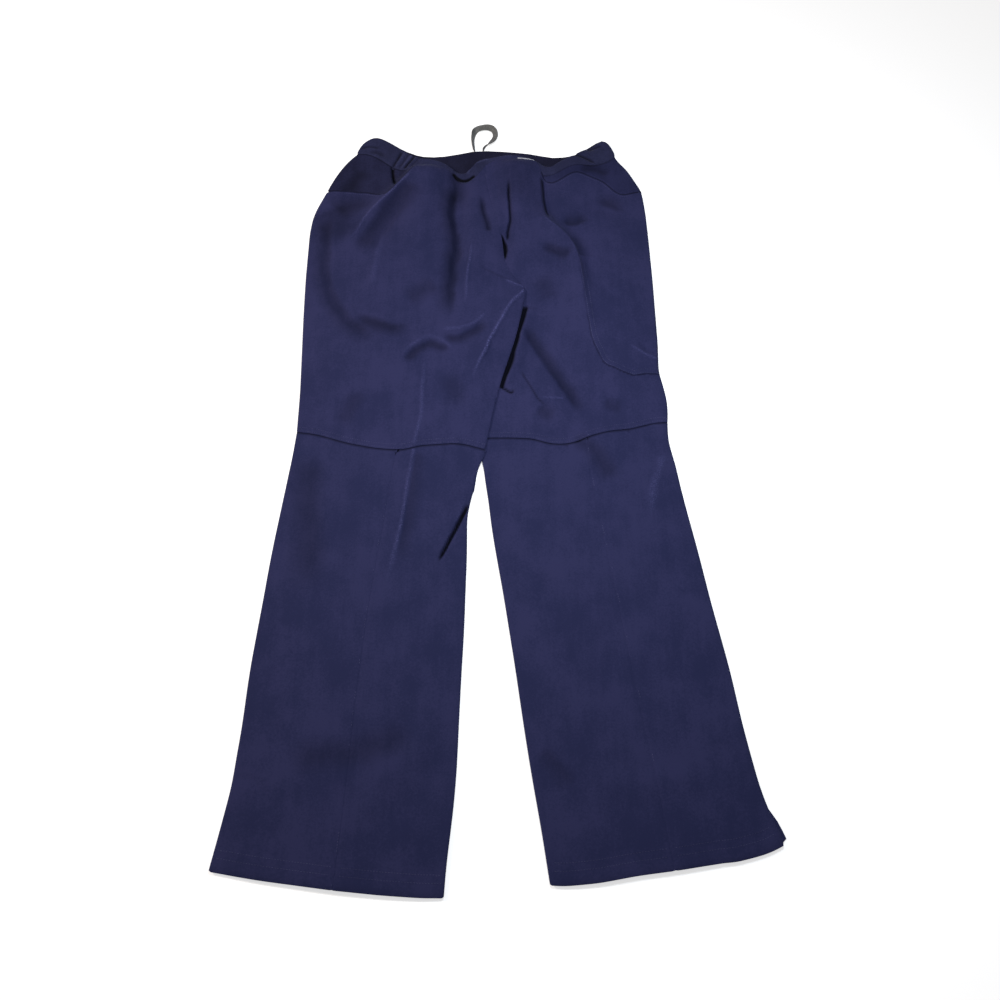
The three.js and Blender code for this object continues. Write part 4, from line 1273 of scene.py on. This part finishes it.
twill, given, result = new_group("twill", [("Ribs per metre", 900.0), ("Unevenness", 0.5)], ["Height"])
place = node(twill, "ShaderNodeTexCoord").outputs["Object"]
turned = texture(twill, "ShaderNodeMapping", place, vector_type="POINT", in_Rotation=(0, 0, RIB_SLANT))
ribs = texture(twill, "ShaderNodeTexWave", turned.outputs[0], wave_type="BANDS", bands_direction="X",
               in_Distortion=0.6, in_Detail=2.0, in_Detail_Scale=2.0)
twill.links.new(calculate(twill, "MULTIPLY", given["Ribs per metre"], RIB_SCALE), ribs.inputs["Scale"])
yarn = texture(twill, "ShaderNodeTexNoise", place, in_Scale=700.0, in_Detail=3.0, in_Roughness=0.65)
rib_part = calculate(twill, "MULTIPLY", ribs.outputs["Fac"], RIB_HEIGHT)
yarn_part = calculate(twill, "MULTIPLY", yarn.outputs["Fac"], given["Unevenness"])
twill.links.new(calculate(twill, "ADD", rib_part, yarn_part), result["Height"])
print("twill:", len(twill.nodes), "nodes")

# %% [markdown]
# Washed cloth changes tone slowly over a hand's width, in fine grains and in faint streaks along the leg.
# Here and there a speck of lint lies on it: the middle of one cell in thirty.

# %% Washed cloth
TONE_SHARES = {"slow": 0.44, "fine": 0.4, "streaks": 0.16}
LINT_SIZE = 0.03
LINT_RARE = 0.97

wash, given, result = new_group("washed", [("Patch size", 0.06), ("Lint", 0.5)], ["Tone", "Lint"])
place = node(wash, "ShaderNodeTexCoord").outputs["Object"]
slow = texture(wash, "ShaderNodeTexNoise", place, in_Detail=4.0, in_Roughness=0.6)
wash.links.new(calculate(wash, "DIVIDE", 1.0, given["Patch size"]), slow.inputs["Scale"])
fine = texture(wash, "ShaderNodeTexNoise", place, in_Scale=420.0, in_Detail=4.0, in_Roughness=0.8)
drawn = texture(wash, "ShaderNodeMapping", place, vector_type="POINT", in_Scale=(1, 0.16, 1))
streaks = texture(wash, "ShaderNodeTexNoise", drawn.outputs[0], in_Scale=95.0, in_Detail=3.0,
                  in_Roughness=0.6)
mixed = 0.0
for part, share in zip((slow, fine, streaks), TONE_SHARES.values()):
    mixed = calculate(wash, "ADD", mixed, calculate(wash, "MULTIPLY", part.outputs["Fac"], share))
wash.links.new(mixed, result["Tone"])
cells = texture(wash, "ShaderNodeTexVoronoi", place, feature="F1", in_Scale=55.0)
speck = calculate(wash, "LESS_THAN", cells.outputs["Distance"], LINT_SIZE)
lot = node(wash, "ShaderNodeSeparateColor")
wash.links.new(cells.outputs["Color"], lot.inputs[0])
rare_speck = calculate(wash, "MULTIPLY", speck, calculate(wash, "GREATER_THAN", lot.outputs[0], LINT_RARE))
wash.links.new(calculate(wash, "MULTIPLY", rare_speck, given["Lint"]), result["Lint"])
print("washed cloth:", len(wash.nodes), "nodes")

# %% [markdown]
# The tone that each panel keeps for its rubbed edges and deep folds is split in two masks. The pale one,
# rubbed dye and painted highlight, is broken up by the grain of the yarn, as worn dye is. The dark one is
# painted shade.

# %% Rubbing and painted light
GRAIN_FROM = 0.5
GRAIN_MOST = 0.14
GRAIN_GAIN = 5.0
GRAIN_LEAST = 0.14

rubbing, given, result = new_group("rubbing", [("Tone", 0.0)], ["Pale", "Dark"])
place = node(rubbing, "ShaderNodeTexCoord").outputs["Object"]
frayed = texture(rubbing, "ShaderNodeTexNoise", place, in_Scale=650.0, in_Detail=3.0, in_Roughness=0.7)
grain = calculate(rubbing, "SUBTRACT", frayed.outputs["Fac"], GRAIN_FROM)
grain = calculate(rubbing, "MINIMUM", calculate(rubbing, "MAXIMUM", grain, 0.0), GRAIN_MOST)
broken = calculate(rubbing, "ADD", calculate(rubbing, "MULTIPLY", grain, GRAIN_GAIN), GRAIN_LEAST)
# pale: rubbed dye and painted highlight
rubbed_and_highlight_part = calculate(rubbing, "MAXIMUM", given["Tone"], 0.0)
rubbing.links.new(calculate(rubbing, "MULTIPLY", rubbed_and_highlight_part, broken), result["Pale"])
# dark: painted shade in the folds and along the seams
painted_shade_part = calculate(rubbing, "MAXIMUM", calculate(rubbing, "MULTIPLY", given["Tone"], -1.0), 0.0)
rubbing.links.new(painted_shade_part, result["Dark"])
print("rubbing:", len(rubbing.nodes), "nodes")

# %% [markdown]
# The scrubs are navy, a purplish one where the cloth is thin and a bluer one elsewhere. The waistband reads
# darker. The yokes and the inside of the front waistband take darker copies of the navy: painted shade, for
# the light that falls less on them. Cotton has no gloss, only a soft sheen that pales the slopes turned away
# from the eye.

# %% Colours of the cloths
CLOTHS = table("name dark light sheen ribs bump lint", [
    ("navy_twill", (0.0218, 0.0250, 0.0795), (0.0322, 0.0338, 0.1020), 0.06, 900.0, 0.25, 0.5),
    ("calf_twill", (0.0208, 0.0243, 0.0775), (0.0308, 0.0328, 0.0985), 0.06, 900.0, 0.25, 0.5),
    # the two yoke twills are the navy darkened: painted shade
    ("left_yoke_twill", (0.0134, 0.0142, 0.0430), (0.0210, 0.0225, 0.0650), 0.06, 900.0, 0.25, 0.3),
    ("right_yoke_twill", (0.0160, 0.0180, 0.0590), (0.0240, 0.0262, 0.0810), 0.06, 900.0, 0.25, 0.3),
    ("waistband_twill", (0.0200, 0.0220, 0.0600), (0.0292, 0.0318, 0.0850), 0.1, 700.0, 0.4, 0.3),
    # the inside of the front waistband is the cloth darkened: painted shade
    ("inner_band_twill", (0.0105, 0.0105, 0.0280), (0.0160, 0.0165, 0.0430), 0.1, 700.0, 0.4, 0.3),
    ("stitching_thread", (0.0400, 0.0430, 0.1080), (0.0650, 0.0690, 0.1640), 0.3, 2500.0, 0.2, 0.0),
    ("label_weave", (0.4200, 0.4300, 0.4800), (0.5600, 0.5700, 0.6200), 0.1, 1600.0, 0.3, 0.0),
    ("tape_weave", (0.1400, 0.1400, 0.1350), (0.2500, 0.2500, 0.2400), 0.1, 1200.0, 0.8, 0.0),
])
print("cloths:", len(CLOTHS))

# %% [markdown]
# One recipe makes all of them. The washed tone picks a colour between dark and light, lint pales it, rubbed
# dye and painted highlight pale it along sharp edges, painted shade darkens it in deep folds and along seams,
# and the twill's height becomes a fine bump.

# %% Materials
ROUGH = 0.85
SPECULAR = 0.1
SHEEN_ROUGH = 0.4
SHEEN_TINT = (0.55, 0.6, 0.9, 1)
LINT_COLOUR = (0.3, 0.32, 0.42, 1)
TONE_FROM = 0.44
TONE_TO = 0.56
# the gain and the white of the pale for rubbed dye and painted highlight, and the darkest painted shade
RUBBED_AND_HIGHLIGHT_GAIN = 3.4
RUBBED_AND_HIGHLIGHT_WHITE = 0.03
PAINTED_SHADE_DARKEST = 0.1
BUMP_DISTANCE = 0.4 * MM


def shared(tree, group, **settings):
    made = node(tree, "ShaderNodeGroup", node_tree=group)
    for title, value in settings.items():
        made.inputs[title.replace("_", " ")].default_value = value
    return made


def mix(tree, share, colour, other):
    """Mixes a second, plain colour into a linked one."""
    made = node(tree, "ShaderNodeMix", data_type="RGBA")
    tree.links.new(share, made.inputs["Factor"])
    tree.links.new(colour, made.inputs[6])
    made.inputs[7].default_value = other
    return made.outputs[2]


def make_cloth(row):
    material = bpy.data.materials.new(row["name"])
    material.use_nodes = True
    tree = material.node_tree
    shader = tree.nodes["Principled BSDF"]
    shader.inputs["Roughness"].default_value = ROUGH
    shader.inputs["Specular IOR Level"].default_value = SPECULAR
    shader.inputs["Sheen Weight"].default_value = row["sheen"]
    shader.inputs["Sheen Roughness"].default_value = SHEEN_ROUGH
    shader.inputs["Sheen Tint"].default_value = SHEEN_TINT
    weave = shared(tree, twill, Ribs_per_metre=row["ribs"])
    washed = shared(tree, wash, Lint=row["lint"])
    tone = node(tree, "ShaderNodeValToRGB")
    stops = ((TONE_FROM, row["dark"]), (TONE_TO, row["light"]))
    for stop, (position, colour) in zip(tone.color_ramp.elements, stops):
        stop.position = position
        stop.color = (*colour, 1)
    tree.links.new(washed.outputs["Tone"], tone.inputs["Fac"])
    rubbed_and_painted_light = shared(tree, rubbing)
    kept_tone = node(tree, "ShaderNodeAttribute", attribute_name="tone")
    tree.links.new(kept_tone.outputs["Fac"], rubbed_and_painted_light.inputs["Tone"])
    colour = mix(tree, washed.outputs["Lint"], tone.outputs["Color"], LINT_COLOUR)
    # rubbed dye and painted highlight: the light colour made paler
    pale = (*[RUBBED_AND_HIGHLIGHT_GAIN * c + RUBBED_AND_HIGHLIGHT_WHITE for c in row["light"]], 1)
    colour = mix(tree, rubbed_and_painted_light.outputs["Pale"], colour, pale)
    # painted shade: the dark colour made darker still
    deep = (*[PAINTED_SHADE_DARKEST * c for c in row["dark"]], 1)
    colour = mix(tree, rubbed_and_painted_light.outputs["Dark"], colour, deep)
    tree.links.new(colour, shader.inputs["Base Color"])
    bump = node(tree, "ShaderNodeBump", in_Strength=row["bump"], in_Distance=BUMP_DISTANCE)
    tree.links.new(weave.outputs["Height"], bump.inputs["Height"])
    tree.links.new(bump.outputs["Normal"], shader.inputs["Normal"])
    return material


cloths = {row["name"]: make_cloth(row) for row in CLOTHS}
print("materials:", ", ".join(cloths))

# %% [markdown]
# Every piece rides on the one body, hides the solid that it stands for, and takes its finish. The stitches
# stand for no solid.

# %% Dressing
WORN = table("piece node slot cloth", [
    (front_left, "front_left_leg", "navy_cloth", "navy_twill"),
    (front_right, "front_right_leg", "navy_cloth", "navy_twill"),
    # the inside of the front waistband takes the darkened twill: painted shade
    (front_band, "front_waistband", "waistband_cloth", "inner_band_twill"),
    (pocket["piece"], "cargo_pocket", "navy_cloth", "navy_twill"),
    (label["piece"], "label", "label_cloth", "label_weave"),
    (drawstring, "drawstring", "drawstring_tape", "tape_weave"),
])
for name, panel in panels.items():
    low = "lower" in name
    slot = "waistband_cloth" if name == "back_waistband" else "navy_cloth"
    cloth = "waistband_twill" if slot == "waistband_cloth" else "calf_twill" if low else "navy_twill"
    # the yokes take their darker twill, painted shade
    if "yoke" in name:
        cloth = "left_yoke_twill" if "left" in name else "right_yoke_twill"
    WORN.append({"piece": panel["piece"], "node": name, "slot": slot, "cloth": cloth})
for row in WORN:
    row["piece"].data.materials.append(cloths[row["cloth"]])
    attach(row["piece"], "root")
    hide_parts(row["node"])
for piece in threads:
    piece.data.materials.append(cloths["stitching_thread"])
    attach(piece, "root")
print("dressed:", len(WORN) + len(threads), "pieces")

# %% [markdown]
# Light. The photograph was taken in a white studio: one broad soft source above the seat, so that the
# hems fall off in brightness, and a wide one from the upper left that shades the slopes facing lower
# right.

# %% Light
LIGHTS = table("name place target size power colour", [
    ("overhead", (0.10, 0.07, 0.78), (0.10, 0.07, 0.0), 0.3, 4.1, (0.93, 1.0, 1.08)),
    ("left", (-1.3, 0.25, 0.95), (0.0, 0.1, 0.0), 0.4, 12.0, (1.0, 0.87, 0.78)),
])
for row in LIGHTS:
    light = bpy.data.lights.new(row["name"], "AREA")
    light.shape = "DISK"
    light.size = row["size"]
    light.energy = row["power"]
    light.color = row["colour"]
    lamp = bpy.data.objects.new(row["name"], light)
    lamp.location = row["place"]
    lamp.visible_camera = False
    lamp.rotation_euler = (Vector(row["target"]) - Vector(row["place"])).to_track_quat("-Z", "Y").to_euler()
    bpy.context.scene.collection.objects.link(lamp)
print("lights:", [(row["name"], row["power"]) for row in LIGHTS])

# %% [markdown]
# A faint white surrounding light fills the shadows. The floor is a plain pale surface that gives a little
# light of its own, as bright studio paper seems to.

# %% Surroundings and floor
FILL = 0.15
PAPER = {"Base Color": (0.93, 0.93, 0.93, 1), "Roughness": 0.9, "Emission Color": (1, 1, 1, 1),
         "Emission Strength": 0.6}

world = bpy.data.worlds.new("studio")
bpy.context.scene.world = world
world.use_nodes = True
world.node_tree.nodes["Background"].inputs["Color"].default_value = (1, 1, 1, 1)
world.node_tree.nodes["Background"].inputs["Strength"].default_value = FILL
bpy.context.scene.view_settings.view_transform = "Standard"

bpy.ops.object.select_all(action="DESELECT")
bpy.ops.mesh.primitive_plane_add(size=6, location=(0, 0, 0))
floor = bpy.context.object
floor.name = "floor"
paper = bpy.data.materials.new("white_paper")
paper.use_nodes = True
for socket, value in PAPER.items():
    paper.node_tree.nodes["Principled BSDF"].inputs[socket].default_value = value
floor.data.materials.append(paper)
print("floor:", tuple(round(d, 2) for d in floor.dimensions[:2]), "m")

# %% [markdown]
# The panels are gone through once more, each with its row and its side.

# %% The panels once more
for name, panel in panels.items():
    row = panel["row"]
    side = "left" if "left" in name else "right"
print("declared:", len(panels), "panels")
